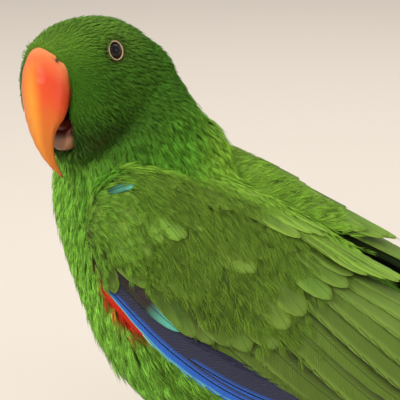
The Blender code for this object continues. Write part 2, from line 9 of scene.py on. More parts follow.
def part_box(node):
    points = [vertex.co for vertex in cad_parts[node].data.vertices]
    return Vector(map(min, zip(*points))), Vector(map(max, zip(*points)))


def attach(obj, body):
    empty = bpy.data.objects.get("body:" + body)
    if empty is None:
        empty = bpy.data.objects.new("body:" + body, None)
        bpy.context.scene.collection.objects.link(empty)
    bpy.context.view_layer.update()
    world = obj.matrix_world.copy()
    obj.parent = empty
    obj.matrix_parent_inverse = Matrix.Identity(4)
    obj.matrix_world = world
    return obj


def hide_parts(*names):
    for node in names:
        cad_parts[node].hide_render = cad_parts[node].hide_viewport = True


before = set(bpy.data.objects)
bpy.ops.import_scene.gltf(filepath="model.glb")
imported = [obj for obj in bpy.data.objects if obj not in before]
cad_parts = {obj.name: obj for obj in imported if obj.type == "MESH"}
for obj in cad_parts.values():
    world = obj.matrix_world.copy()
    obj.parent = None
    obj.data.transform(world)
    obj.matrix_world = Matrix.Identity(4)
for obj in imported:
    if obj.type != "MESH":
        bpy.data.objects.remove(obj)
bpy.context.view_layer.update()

# The bare body under the plumage: head, neck, trunk and thighs as one skin. It is made from the
# solids of the flesh, melted together so that no seam shows, and drawn in by the depth of the
# plumage, which is thin round the bill and eyes and thickest on the breast and belly.
MM = 0.001
HEAD_CENTRE = (-15, -8, 157)
HEAD_TURN, HEAD_NOD, HEAD_TILT = math.radians(59), math.radians(1), math.radians(12)
EYE_CENTRE = (3.8, 14.2, 9.3)
EYE_LOOK = (0.28, 1, 0.1)
NECK_PLANE = ((-16, -5, 141), (-0.3, -0.2, 1))
BODY_LINE = ((176, 37), (159, 39), (135, 42), (105, 46), (75, 55), (48, 65), (25, 76), (11, 91), (3, 106), (-1, 120), (-5, 133), (-10, 148))
SKIN_FINENESS = 0.0013
FACE_COLLAR = ((9, 16.4, 6, -2.2, 8.5), (14, 17.2, 9.2, -2.4, 8.9), (20.9, 16.3, 13.2, -3.0, 9.2))
NAPE = (((10, -6, 151), 17, 2.8), ((9, 1, 160), 9, 3.0), ((24, 7, 133), 12, 4.0))


def head_frame():
    turn = Matrix.Rotation(HEAD_TURN, 4, "Z")
    facing = Matrix(((-1, 0, 0, 0), (0, -1, 0, 0), (0, 0, 1, 0), (0, 0, 0, 1)))
    nod = Matrix.Rotation(HEAD_NOD, 4, "Y")
    tilt = Matrix.Rotation(HEAD_TILT, 4, "X")
    return Matrix.Translation(HEAD_CENTRE) @ turn @ facing @ nod @ tilt


HEAD = head_frame()
HEAD_AXES = np.array(HEAD.to_3x3())
eye_low, eye_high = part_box("eye_left")
STANDS = np.array((eye_low + eye_high) / 2 - (HEAD @ Vector(EYE_CENTRE)) * MM)


def on_head(points):
    """Points of the head's own frame (forward, left, up) in the bird's millimetres."""
    return np.asarray(points, float) @ HEAD_AXES.T + np.array(HEAD_CENTRE)


def in_head(points):
    """The bird's millimetres in the head's own frame."""
    return (np.asarray(points, float) - np.array(HEAD_CENTRE)) @ HEAD_AXES


def unit(vectors):
    return vectors / np.maximum(np.linalg.norm(vectors, axis=-1, keepdims=True), 1e-9)


def ramp(value, low, high):
    """A smooth step from 0 at low to 1 at high."""
    share = np.clip((np.asarray(value, float) - low) / (high - low), 0, 1)
    return share * share * (3 - 2 * share)


def linear(*rgb):
    """A colour given as 0 to 255 screen values, in linear light."""
    share = np.array(rgb, float) / 255
    return np.where(share < 0.04045, share / 12.92, ((share + 0.055) / 1.055) ** 2.4)


def linked(name, mesh):
    made = bpy.data.objects.new(name, mesh)
    bpy.context.scene.collection.objects.link(made)
    return made


def loft(name, rings, closed_ends=True):
    """One closed skin over a row of rings, given in the bird's millimetres."""
    rings = np.asarray(rings, float)
    rows, sides = rings.shape[:2]
    points = rings.reshape(-1, 3)
    at = np.arange(rows * sides).reshape(rows, sides)
    ahead = np.roll(at, -1, axis=1)
    faces = np.stack([at[:-1], ahead[:-1], ahead[1:], at[1:]], axis=-1).reshape(-1, 4).tolist()
    if closed_ends:
        hubs = len(points)
        points = np.concatenate([points, rings[[0, -1]].mean(axis=1)])
        faces += [(k, (k + 1) % sides, hubs) for k in range(sides)]
        faces += [((rows - 1) * sides + k, (rows - 1) * sides + (k + 1) % sides, hubs + 1) for k in range(sides)]
    mesh = bpy.data.meshes.new(name)
    mesh.from_pydata((points * MM + STANDS).tolist(), [], faces)
    return outward(linked(name, mesh))


def outward(piece):
    shape = bmesh.new()
    shape.from_mesh(piece.data)
    bmesh.ops.recalc_face_normals(shape, faces=shape.faces)
    if shape.calc_volume(signed=True) < 0:
        bmesh.ops.reverse_faces(shape, faces=shape.faces)
    shape.to_mesh(piece.data)
    shape.free()
    piece.data.shade_smooth()
    return piece


def cad_copy(name, *nodes, more=()):
    """The meshes of these solids, and of more pieces, as one object, their doubled corners merged."""
    shape = bmesh.new()
    for mesh in [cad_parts[node].data for node in nodes] + list(more):
        shape.from_mesh(mesh)
    bmesh.ops.remove_doubles(shape, verts=shape.verts, dist=1e-6)
    mesh = bpy.data.meshes.new(name)
    shape.to_mesh(mesh)
    shape.free()
    return linked(name, mesh)


def settle(piece):
    """Replaces the mesh by what the modifiers make of it and takes the modifiers off."""
    bpy.context.view_layer.update()
    graph = bpy.context.evaluated_depsgraph_get()
    mesh = bpy.data.meshes.new_from_object(piece.evaluated_get(graph))
    piece.modifiers.clear()
    piece.data = mesh
    return piece


def melt(piece, fineness, smoothing):
    """Makes one even, soft skin of the piece's solids."""
    remesh = piece.modifiers.new("melt", "REMESH")
    remesh.mode, remesh.voxel_size, remesh.use_smooth_shade = "VOXEL", fineness, True
    soft = piece.modifiers.new("soft", "SMOOTH")
    soft.factor, soft.iterations = 0.5, smoothing
    return settle(piece)


def corners_of(mesh):
    flat = np.empty(len(mesh.vertices) * 3)
    mesh.vertices.foreach_get("co", flat)
    return (flat.reshape(-1, 3) - STANDS) / MM


def normals_of(mesh):
    flat = np.empty(len(mesh.vertices) * 3)
    mesh.vertices.foreach_get("normal", flat)
    return flat.reshape(-1, 3)


def move_corners(mesh, points):
    mesh.vertices.foreach_set("co", (points * MM + STANDS).ravel())
    mesh.update()


def give(mesh, name, values, kind="FLOAT"):
    """Stores one value for each corner of the mesh."""
    values = np.asarray(values, float)
    if kind == "FLOAT_COLOR":
        values = np.concatenate([values, np.ones((len(values), 1))], axis=1)
    made = mesh.attributes.new(name, kind, "POINT")
    key = {"FLOAT": "value", "FLOAT_VECTOR": "vector", "FLOAT_COLOR": "color"}[kind]
    made.data.foreach_set(key, values.ravel())


def headness(points):
    """1 on the head, 0 on the neck and trunk."""
    at, up = (np.array(v, float) for v in NECK_PLANE)
    return ramp((points - at) @ (up / np.linalg.norm(up)), -12, 8)


collar = []
for ridge_a, ridge_c, edge_a, edge_c, half in FACE_COLLAR:
    turn = np.arange(32) * 2 * math.pi / 32
    share = 0.5 + 0.5 * np.cos(turn)
    width = half * np.sign(np.sin(turn)) * np.abs(np.sin(turn)) ** 0.8
    width = np.where(width < 0, width * (1 + 0.13 * share), width)
    collar.append(on_head(np.stack([edge_a + (ridge_a - edge_a) * share, width, edge_c + (ridge_c - edge_c) * share], axis=1)))
collar = loft("collar", collar)
skin = cad_copy("skin", "head", "neck", "torso", "thigh_left", "thigh_right", more=[collar.data])
bpy.data.objects.remove(collar)
skin = melt(skin, SKIN_FINENESS, 12)
body_points = corners_of(skin.data)
face_near = ramp(np.linalg.norm(in_head(body_points) - (15, 0, 4), axis=1), 13, 26)
on_top = headness(body_points)
coat_depth = on_top * (0.5 + 0.7 * face_near) + (1 - on_top) * 1.7
coat_depth = np.where(body_points[:, 2] < 32, 1.2, coat_depth)
for middle, reach, fullness in NAPE:
    share = np.exp(-((np.linalg.norm(body_points - middle, axis=1) / reach) ** 2) * 1.5)
    coat_depth = coat_depth - fullness * share * ramp(body_points[:, 0], -6, 4)
body_points = body_points - normals_of(skin.data) * coat_depth[:, None]
move_corners(skin.data, body_points)
for side in (1, -1):
    look = unit(HEAD_AXES @ (np.array(EYE_LOOK) * (1, side, 1)))
    from_eye = body_points - on_head((np.array(EYE_CENTRE) + (-1.5, 0, -0.5)) * (1, side, 1))
    depth = from_eye @ look
    round_eye = np.linalg.norm(from_eye - depth[:, None] * look, axis=1)
    ahead = (from_eye - depth[:, None] * look) @ HEAD_AXES[:, 0] / np.maximum(round_eye, 0.1)
    cushion = np.interp(round_eye, (0, 2.8, 3.4, 5, 7.5), (0.5, 1.2, 2.6, 2.0, -1.5))
    cushion = cushion + 1.5 * np.clip(ahead, 0, 1) * ramp(round_eye, 3.2, 5)
    near = ramp(-round_eye, -7.5, -5) * (depth > np.where(round_eye < 5.6, -7, -3))
    lift = np.where(round_eye < 3.2, cushion - depth, np.clip(cushion - depth, 0, np.where(round_eye < 5.6, 9, 3.5)))
    body_points = body_points + (lift * near)[:, None] * look
move_corners(skin.data, body_points)
soften = skin.modifiers.new("soft", "SMOOTH")
soften.factor, soften.iterations = 0.5, 3
settle(skin)
body_points, body_normals = corners_of(skin.data), normals_of(skin.data)

bpy.context.view_layer.objects.active = skin
skin.select_set(True)
bpy.ops.object.mode_set(mode="EDIT")
bpy.ops.mesh.select_all(action="SELECT")
bpy.ops.uv.smart_project(angle_limit=math.radians(66), island_margin=0.004)
bpy.ops.object.mode_set(mode="OBJECT")
skin.select_set(False)
skin.data.uv_layers[0].name = "OFBake"

# Which way the feathers lie. They part at the bill, run back over the crown and cheeks, and go
# on down the neck and along the trunk to the tail.
LIE_SOURCE = (25, 0, 7)


def lie_of(points, normals):
    line = np.array([(x, 0, z) for x, z in BODY_LINE], float)
    fine = np.linspace(0, len(line) - 1, 160)
    line = np.stack([np.interp(fine, np.arange(len(line)), line[:, k]) for k in range(3)], axis=1)
    run = unit(np.gradient(line, axis=0)) * -1
    nearest = np.argmin(((points[:, None, ::2] - line[None, :, ::2]) ** 2).sum(axis=2), axis=1)
    trunk_lie = run[nearest] + np.array((0, 0, -0.25))
    local = in_head(points)
    from_bill = unit(local - np.array(LIE_SOURCE)) @ HEAD_AXES.T
    head_lie = from_bill + np.array((0.1, 0, -0.45))
    share = headness(points)[:, None]
    lie = unit(head_lie) * share + unit(trunk_lie) * (1 - share)
    lie = lie - normals * (lie * normals).sum(axis=1, keepdims=True)
    return unit(lie)


body_lie = lie_of(body_points, body_normals)

# The markings, carried by the skin and by every feather that grows on it: a bright green bird,
# yellower on the forehead, darker on the cheeks, with painted shade under the chin, brightest on the
# neck and breast, with brown rims round the eyes and scarlet sides under the wings.
CROWN, FOREHEAD, CHEEK, CHIN_SHADE = linear(94, 138, 38), linear(110, 152, 46), linear(64, 110, 22), linear(36, 62, 14)
NAPE_GREEN, NECK, BREAST = linear(64, 116, 20), linear(98, 162, 42), linear(132, 194, 66)
BELLY, BACK, MANTLE = linear(110, 168, 58), linear(92, 138, 38), linear(138, 186, 56)
EYE_RIM, SCARLET = linear(76, 98, 32), linear(196, 40, 22)
WING_FRONT = ((-14, 112), (-11, 98), (0, 84), (18, 70), (44, 57), (76, 48))


def mixed(a, b, share):
    return a + (b - a) * np.asarray(share)[..., None]


def marking_of(points, normals):
    local = in_head(points)
    top = headness(points)
    colour = np.tile(CHEEK, (len(points), 1))
    colour = mixed(colour, CROWN, ramp(local[:, 2], 2, 17))
    colour = mixed(colour, FOREHEAD, ramp(local[:, 0], 8, 17) * ramp(local[:, 2], 8, 17))
    # Painted shade: the chin and throat are darkened for the shade that falls under the head.
    colour = mixed(colour, CHIN_SHADE, ramp(-local[:, 2], 6, 17) * ramp(local[:, 0], -12, 8))
    ringed = np.min([np.linalg.norm(local - (x, y, z), axis=1) for x, y, z in ((3.1, 17, 9.1), (3.1, -17, 9.1))], axis=0)
    colour = mixed(colour, EYE_RIM, 1 - ramp(ringed, 3.4, 5.6))
    front = ramp(-points[:, 0] - 0.55 * (points[:, 2] - 120), -18, 8)
    colour = mixed(colour, NAPE_GREEN, ramp(-local[:, 0], 4, 18))
    body = mixed(np.tile(BACK, (len(points), 1)), NECK, ramp(points[:, 2], 100, 128))
    body = mixed(body, MANTLE, ramp(points[:, 0], 15, 28) * ramp(points[:, 2], 90, 112))
    body = mixed(body, BREAST, front * ramp(normals[:, 0] * -1, -0.5, 0.3))
    body = mixed(body, BELLY, ramp(-normals[:, 2], 0.1, 0.7))
    edge_z = np.interp(points[:, 0], *zip(*WING_FRONT))
    side = ramp(np.abs(points[:, 1]), 24, 29) * ramp(points[:, 2], edge_z - 4.5, edge_z - 1.5)
    body = mixed(body, SCARLET, side * ramp(points[:, 0], -13, -8) * ramp(-points[:, 0], -5, 0))
    return mixed(body, colour, top)


body_marking = marking_of(body_points, body_normals)


def finish(name, roughness, specular=0.5):
    """A new material: its node tree and its Principled shader."""
    made = bpy.data.materials.new(name)
    made.use_nodes = True
    shader = made.node_tree.nodes["Principled BSDF"]
    shader.inputs["Roughness"].default_value = roughness
    shader.inputs["Specular IOR Level"].default_value = specular
    return made, made.node_tree, shader


def stored(tree, name, output="Fac"):
    """What the mesh stores under this name, for use in a material."""
    node = tree.nodes.new("ShaderNodeAttribute")
    node.attribute_name = name
    return node.outputs[output]


def sum_of(tree, operation, a, b, clamp=False):
    node = tree.nodes.new("ShaderNodeMath")
    node.operation, node.use_clamp = operation, clamp
    for socket, value in zip(node.inputs, (a, b)):
        if isinstance(value, (int, float)):
            socket.default_value = value
        else:
            tree.links.new(value, socket)
    return node.outputs[0]


def blend(tree, kind, share, a, b):
    """Mixes two colours; each may be a socket or a plain colour."""
    node = tree.nodes.new("ShaderNodeMix")
    node.data_type, node.blend_type = "RGBA", kind
    for socket, value in ((node.inputs[0], share), (node.inputs[6], a), (node.inputs[7], b)):
        if isinstance(value, bpy.types.NodeSocket):
            tree.links.new(value, socket)
        elif isinstance(value, (int, float)):
            socket.default_value = value
        else:
            socket.default_value = (*value, 1)
    return node.outputs[2]


skin_finish, tree, shader = finish("down", 0.9, 0.1)
dimmed = blend(tree, "MULTIPLY", 1.0, stored(tree, "marking", "Color"), (0.55, 0.6, 0.5))
tree.links.new(dimmed, shader.inputs["Base Color"])
give(skin.data, "marking", body_marking, "FLOAT_COLOR")
skin.data.materials.clear()
skin.data.materials.append(skin_finish)
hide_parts("head", "neck", "torso", "thigh_left", "thigh_right")
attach(skin, "root")

# Small feathers. Each is a loose fan of fine barbs on a hidden shaft, modelled once in a few
# shapes and set on the skin by the thousand, along the lie, so that every tip covers the next root.
BARB_STATIONS = (0.0, 0.55)


def plume(name, barbs, spread, thickness, curl, seed):
    """One small feather of length 1 along +X, lying on the XY plane."""
    draw = np.random.default_rng(seed)
    points, faces, along, barb, patch = [], [], [], [], []
    for k in range(barbs):
        side = (k + 0.5) / barbs * 2 - 1 + draw.uniform(-0.12, 0.12)
        reach = (1 - 0.38 * side * side) * draw.uniform(0.86, 1.05)
        start = 0.16 * abs(side) * draw.uniform(0.5, 1.2)
        tone = draw.uniform()
        first = len(points)
        for share in (*BARB_STATIONS, 1.0):
            x = start + (reach - start) * share
            y = side * spread * (0.25 + 0.75 * share**0.75) + draw.uniform(-0.012, 0.012)
            z = curl * math.sin(math.pi * min(share, 0.9)) - 0.35 * curl * share + draw.uniform(0, 0.012)
            r = thickness * (0.75 + 0.5 * share) * (1.0 if share < 1 else 0)
            spots = [(x, y, z)] if share == 1.0 else [(x, y - r, z), (x, y + r, z), (x, y, z + r * 0.8)]
            for spot in spots:
                points.append(spot)
                along.append(x)
                barb.append(tone)
                patch.append((x, y + 0.5, 0))
        for c in range(3):
            a, b = first + c, first + (c + 1) % 3
            faces.append((a, b, b + 3, a + 3))
        tip = first + 6
        faces += [(first + 3 + c, first + 3 + (c + 1) % 3, tip) for c in range(3)]
        faces.append((first + 2, first + 1, first))
    mesh = bpy.data.meshes.new(name)
    mesh.from_pydata(points, [], faces)
    shape = bmesh.new()
    shape.from_mesh(mesh)
    bmesh.ops.recalc_face_normals(shape, faces=shape.faces)
    shape.to_mesh(mesh)
    shape.free()
    mesh.shade_smooth()
    give(mesh, "along", along)
    give(mesh, "barb", barb)
    give(mesh, "patch", patch, "FLOAT_VECTOR")
    return bpy.data.objects.new(name, mesh)


def plume_set(name, count, barbs, spread, thickness, curl):
    group = bpy.data.collections.new(name)
    for k in range(count):
        group.objects.link(plume(f"{name}_{k}", barbs, spread, thickness, curl, 40 + k))
    return group


def coat_tree():
    """Grows feathers on a skin: it sows roots, turns each feather along the lie, and joins them all."""
    tree = bpy.data.node_groups.new("plumage", "GeometryNodeTree")
    face = tree.interface
    face.new_socket("Geometry", in_out="INPUT", socket_type="NodeSocketGeometry")
    for label, kind in (
        ("Feathers", "NodeSocketCollection"),
        ("Region", "NodeSocketString"),
        ("Spacing", "NodeSocketFloat"),
        ("Width", "NodeSocketFloat"),
        ("Lift", "NodeSocketFloat"),
        ("Disorder", "NodeSocketFloat"),
        ("Seed", "NodeSocketInt"),
        ("Finish", "NodeSocketMaterial"),
    ):
        face.new_socket(label, in_out="INPUT", socket_type=kind)
    face.new_socket("Geometry", in_out="OUTPUT", socket_type="NodeSocketGeometry")
    given = tree.nodes.new("NodeGroupInput").outputs
    link = tree.links.new

    def node(kind, **settings):
        made = tree.nodes.new(kind)
        for key, value in settings.items():
            setattr(made, key, value)
        return made

    def named(name, kind):
        made = node("GeometryNodeInputNamedAttribute", data_type=kind)
        if isinstance(name, str):
            made.inputs["Name"].default_value = name
        else:
            link(name, made.inputs["Name"])
        return next(s for s in made.outputs if s.name == "Attribute" and s.enabled)

    def value(operation, a, b):
        made = node("ShaderNodeMath", operation=operation)
        for socket, v in zip(made.inputs, (a, b)):
            if isinstance(v, (int, float)):
                socket.default_value = v
            else:
                link(v, socket)
        return made.outputs[0]

    def drawn(low, high, kind="FLOAT", shift=0):
        made = node("FunctionNodeRandomValue", data_type=kind)
        sockets = [s for s in made.inputs if s.enabled]
        for socket, v in zip(sockets, (low, high)):
            if isinstance(v, (int, float, tuple)):
                socket.default_value = v
            else:
                link(v, socket)
        link(value("ADD", given["Seed"], shift), made.inputs["Seed"])
        return next(s for s in made.outputs if s.enabled)

    def keep(geometry, name, kind, domain, attribute):
        made = node("GeometryNodeStoreNamedAttribute", data_type=kind, domain=domain)
        made.inputs["Name"].default_value = name
        link(geometry, made.inputs["Geometry"])
        link(attribute, next(s for s in made.inputs if s.name == "Value" and s.enabled))
        return made.outputs[0]

    sown = node("GeometryNodeDistributePointsOnFaces", distribute_method="POISSON")
    link(given["Geometry"], sown.inputs["Mesh"])
    link(given["Spacing"], sown.inputs["Distance Min"])
    density = value("DIVIDE", 3.0, value("MULTIPLY", given["Spacing"], given["Spacing"]))
    link(density, sown.inputs["Density Max"])
    link(named(given["Region"], "FLOAT"), sown.inputs["Density Factor"])
    link(given["Seed"], sown.inputs["Seed"])
    roots = keep(sown.outputs["Points"], "root_map", "FLOAT_VECTOR", "POINT", named("OFBake", "FLOAT_VECTOR"))
    roots = keep(roots, "shade", "FLOAT", "POINT", drawn(0.0, 1.0, shift=5))

    upright = node("FunctionNodeAlignRotationToVector", axis="Z")
    link(sown.outputs["Normal"], upright.inputs["Vector"])
    combed = node("FunctionNodeAlignRotationToVector", axis="X", pivot_axis="Z")
    link(upright.outputs[0], combed.inputs["Rotation"])
    link(named("lie", "FLOAT_VECTOR"), combed.inputs["Vector"])
    lifted = node("ShaderNodeCombineXYZ")
    loose = given["Disorder"]
    link(drawn(value("MULTIPLY", loose, -0.5), value("MULTIPLY", loose, 0.5), shift=1), lifted.inputs[0])
    lean = value("MULTIPLY", value("MULTIPLY", given["Lift"], drawn(0.5, 1.5, shift=2)), -1)
    link(lean, lifted.inputs[1])
    link(drawn(value("MULTIPLY", loose, -1), loose, shift=3), lifted.inputs[2])
    turned = node("FunctionNodeRotateRotation", rotation_space="LOCAL")
    link(combed.outputs[0], turned.inputs[0])
    link(lifted.outputs[0], turned.inputs[1])

    length = value("MULTIPLY", named("length", "FLOAT"), drawn(0.8, 1.2, shift=4))
    size = node("ShaderNodeCombineXYZ")
    link(length, size.inputs[0])
    link(value("MULTIPLY", length, given["Width"]), size.inputs[1])
    link(length, size.inputs[2])

    shapes = node("GeometryNodeCollectionInfo")
    link(given["Feathers"], shapes.inputs["Collection"])
    shapes.inputs["Separate Children"].default_value = True
    shapes.inputs["Reset Children"].default_value = True
    set_on = node("GeometryNodeInstanceOnPoints")
    set_on.inputs["Pick Instance"].default_value = True
    link(roots, set_on.inputs["Points"])
    link(shapes.outputs[0], set_on.inputs["Instance"])
    link(drawn(0, 99, "INT", shift=6), set_on.inputs["Instance Index"])
    link(turned.outputs[0], set_on.inputs["Rotation"])
    link(size.outputs[0], set_on.inputs["Scale"])
    real = node("GeometryNodeRealizeInstances")
    link(set_on.outputs[0], real.inputs[0])
    near_root = node("ShaderNodeVectorMath", operation="MULTIPLY_ADD")
    link(named("patch", "FLOAT_VECTOR"), near_root.inputs[0])
    near_root.inputs[1].default_value = (0.003, 0.003, 0)
    link(named("root_map", "FLOAT_VECTOR"), near_root.inputs[2])
    mapped = keep(real.outputs[0], "OFBake", "FLOAT2", "CORNER", near_root.outputs[0])
    painted = node("GeometryNodeSetMaterial")
    link(mapped, painted.inputs["Geometry"])
    link(given["Finish"], painted.inputs["Material"])
    link(painted.outputs[0], tree.nodes.new("NodeGroupOutput").inputs[0])
    return tree


PLUMAGE = coat_tree()


def grow(name, ground, **inputs):
    """Feathers on a ground mesh as a plain mesh object of their own."""
    bed = linked(name, ground)
    growth = bed.modifiers.new("plumage", "NODES")
    growth.node_group = PLUMAGE
    for socket in PLUMAGE.interface.items_tree:
        if socket.in_out == "INPUT" and socket.name in inputs:
            growth[socket.identifier] = inputs[socket.name]
    settle(bed)
    for old in [a.name for a in bed.data.attributes]:
        if old.startswith("region") or old in ("lie", "length", "patch", "root_map"):
            bed.data.attributes.remove(bed.data.attributes[old])
    bed.data.name = name
    return bed


# The finish of small feathers: dark down at the root, the marking's green from there on, and each
# barb a little lighter or darker than the next, with a pale tip.
plume_finish, tree, shader = finish("plumage", 0.6, 0.14)
along, shade, barb = (stored(tree, name) for name in ("along", "shade", "barb"))
tone = sum_of(tree, "ADD", sum_of(tree, "MULTIPLY", shade, 0.16), sum_of(tree, "MULTIPLY", barb, 0.74))
tone = sum_of(tree, "ADD", tone, sum_of(tree, "MULTIPLY", along, 0.52))
tone = sum_of(tree, "ADD", tone, 0.2)
toned = tree.nodes.new("ShaderNodeVectorMath")
toned.operation = "SCALE"
tree.links.new(stored(tree, "marking", "Color"), toned.inputs[0])
tree.links.new(tone, toned.inputs["Scale"])
tipped = sum_of(tree, "MULTIPLY", sum_of(tree, "SUBTRACT", along, 0.55, True), sum_of(tree, "MULTIPLY", barb, 0.7))
tree.links.new(blend(tree, "MIX", tipped, toned.outputs[0], linear(164, 204, 84)), shader.inputs["Base Color"])

# The coat itself, region by region. Feathers are smallest round the bill and eyes, short and
# hairlike on the head, and long and loose on the breast, flanks and belly.
WING_BACK = ((-14, 108), (0, 122), (18, 118), (44, 106), (76, 87), (108, 69), (142, 54), (178, 42))
local = in_head(body_points)
x, y, z = body_points.T
face_near = ramp(np.linalg.norm(local - (15, 0, 4), axis=1), 12, 24)
eye_near = np.min([np.linalg.norm((local - (3.1, s * 17, 9.1)) * (1, 0.6, 1), axis=1) for s in (1, -1)], axis=0)
on_top = headness(body_points)
length = 2.2 + 2.2 * face_near
length = length * (0.6 + 0.4 * ramp(eye_near, 3, 8))
length = on_top * length + (1 - on_top) * (8 + 2.5 * ramp(-z, -110, -70))
length = np.where(z < 34, 6.0, length)
give(skin.data, "length", length * MM)
give(skin.data, "lie", body_lie, "FLOAT_VECTOR")
bald = (eye_near < 2.9) | ((local[:, 0] > 14) & (np.abs(local[:, 1]) < 6.5) & (local[:, 2] > -14) & (local[:, 2] < 13))
head, trunk = (on_top > 0.5) & ~bald, on_top <= 0.55
under_wing = (np.abs(y) > 20) & (x > 12) & (z > np.interp(x, *zip(*WING_FRONT)) + 8) & (z < np.interp(x, *zip(*WING_BACK)))
trunk = trunk & ~under_wing
crown, low, fore = local[:, 2] > 7, z < 60, x < 38
fine_plumes = plume_set("fine_plume", 5, 5, 0.13, 0.021, 0.06)
body_plumes = plume_set("body_plume", 6, 8, 0.2, 0.0135, 0.08)
for name, shapes, region, spacing, seed in (
    ("plumage_crown", fine_plumes, head & crown, 0.74, 10),
    ("plumage_face_left", fine_plumes, head & ~crown & (local[:, 1] > 0), 0.74, 11),
    ("plumage_face_right", fine_plumes, head & ~crown & (local[:, 1] <= 0), 0.74, 12),
    ("plumage_breast_left", body_plumes, trunk & ~low & fore & (y < 0), 1.42, 13),
    ("plumage_breast_right", body_plumes, trunk & ~low & fore & (y >= 0), 1.42, 14),
    ("plumage_back", body_plumes, trunk & ~low & ~fore, 1.9, 15),
    ("plumage_belly_left", body_plumes, trunk & low & (y < 0), 2.1, 16),
    ("plumage_belly_right", body_plumes, trunk & low & (y >= 0), 2.1, 17),
):
    ground = skin.data.copy()
    give(ground, "region", region)
    coat = grow(
        name,
        ground,
        Feathers=shapes,
        Region="region",
        Spacing=spacing * MM,
        Width=1.0,
        Lift=0.2,
        Disorder=0.32,
        Seed=seed,
        Finish=plume_finish,
    )
    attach(coat, "root")

# Eyes: dark, wet balls with a brown iris that hardly shows, set in sockets. A bare ring of pale,
# fleshy lid skin surrounds each; it is fine-grained and a little uneven.
EYE_BALL, EYE_SUNK = 4.3, 0.6
LID_PROFILE = ((2.95, 3.0), (3.0, 3.25), (3.15, 3.38), (3.34, 3.3), (3.5, 3.0), (3.65, 2.4), (3.9, 1.3), (4.1, 0.2), (3.6, 0.0), (3.1, 2.3))
EYE_BACK, EYE_SIZE = np.array((-1.5, 0, -0.5)), 0.88
LID_CREST = (0.8, 1, 1, 0.7, 0.1, 0, 0, 0, 0, 0)



def axes_of(look):
    look = np.array(look, float) / np.linalg.norm(look)
    side = unit(np.cross(look, (0, 0, 1)))
    return look, side, np.cross(side, look)


eye_finish, tree, shader = finish("eye_ball", 0.05, 0.15)
shader.inputs["Coat Weight"].default_value = 0.15
shader.inputs["Coat Roughness"].default_value = 0.02
ring_at = stored(tree, "iris")
iris = tree.nodes.new("ShaderNodeValToRGB")
iris.color_ramp.elements[0].position, iris.color_ramp.elements[0].color = 0.0, (*linear(8, 7, 9), 1)
iris.color_ramp.elements[1].position, iris.color_ramp.elements[1].color = 1.0, (*linear(30, 20, 16), 1)
for spot, tone in ((0.5, (8, 7, 8)), (0.56, (30, 18, 13)), (0.72, (24, 15, 11))):
    iris.color_ramp.elements.new(spot).color = (*linear(*tone), 1)
tree.links.new(ring_at, iris.inputs[0])
tree.links.new(iris.outputs[0], shader.inputs["Base Color"])

lid_finish, tree, shader = finish("lid_skin", 0.45, 0.4)
grain = tree.nodes.new("ShaderNodeTexNoise")
grain.inputs["Scale"].default_value = 2600
fleshy = blend(tree, "MIX", grain.outputs[0], linear(150, 118, 84), linear(214, 188, 152))
tree.links.new(blend(tree, "MIX", stored(tree, "crest"), EYE_RIM, fleshy), shader.inputs["Base Color"])
bump = tree.nodes.new("ShaderNodeBump")
bump.inputs["Strength"].default_value, bump.inputs["Distance"].default_value = 0.5, 0.0002
tree.links.new(grain.outputs[0], bump.inputs["Height"])
tree.links.new(bump.outputs[0], shader.inputs["Normal"])

for side in (1, -1):
    name = "left" if side > 0 else "right"
    look, across, rise = axes_of((EYE_LOOK[0], side * EYE_LOOK[1], EYE_LOOK[2]))
    centre = np.array((EYE_CENTRE[0], side * EYE_CENTRE[1], EYE_CENTRE[2])) + EYE_BACK
    rings, reach = [], []
    for turn in np.linspace(0.02, math.pi - 0.02, 40):
        round_it = np.arange(40) * 2 * math.pi / 40
        bulge = EYE_BALL + 0.35 * max(0, math.cos(turn)) ** 6
        circle = np.cos(round_it)[:, None] * across + np.sin(round_it)[:, None] * rise
        rings.append(on_head(centre + look * (math.cos(turn) * bulge - EYE_SUNK) + circle * math.sin(turn) * EYE_BALL * EYE_SIZE))
        reach += [math.sin(turn) * EYE_BALL / 3.2 if turn < math.pi / 2 else 1] * 40
    eye = loft("eyeball_" + name, rings)
    give(eye.data, "iris", np.clip(reach + [0, 1], 0, 1))
    eye.data.materials.append(eye_finish)
    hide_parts("eye_" + name)
    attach(eye, "root")
    draw = np.random.default_rng(21)
    rings = []
    for turn in np.arange(72) * 2 * math.pi / 72:
        outward_here = across * math.cos(turn) * 0.9 + rise * math.sin(turn) * 1.04
        ring = []
        for k, (r, depth) in enumerate(LID_PROFILE):
            uneven = 0.05 * draw.standard_normal() + 0.05 * math.sin(turn * 19 + k)
            ring.append(centre + outward_here * (r * EYE_SIZE + uneven * 0.5) + look * (depth + uneven))
        rings.append(on_head(ring))
    lid = loft("lid_" + name, [*rings, rings[0]], closed_ends=False)
    give(lid.data, "crest", LID_CREST * 73)
    shape = bmesh.new()
    shape.from_mesh(lid.data)
    bmesh.ops.remove_doubles(shape, verts=shape.verts, dist=1e-7)
    shape.to_mesh(lid.data)
    shape.free()
    outward(lid)
    lid.data.materials.append(lid_finish)
    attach(lid, "root")

# Upper mandible: a smooth, hooked horn, arched in section, coral red on the face and amber along
# the ridge and hook, with a pale worn rim where it leaves the forehead and fine growth lines.
UPPER_BILL = (
    (10.2, 15.7, 7.3, -1.9, 7.8),
    (16.7, 15.7, 10.4, -2.5, 8.1),
    (21.6, 13.3, 13.3, -5.3, 8.2),
    (24.9, 8.1, 16, -8, 8.1),
    (26.7, 0, 18.8, -10, 7.2),
    (27.6, -8.1, 21.5, -10.8, 5.5),
    (27.5, -15.2, 23.4, -13.9, 3.4),
    (25.4, -20.9, 23.3, -18.6, 1.8),
    (22.2, -25.2, 22, -23.7, 0.8),
)
BILL_TIP = (20.5, -26.6)
NOSTRIL = np.array((18.4, 6.8, 10.4))


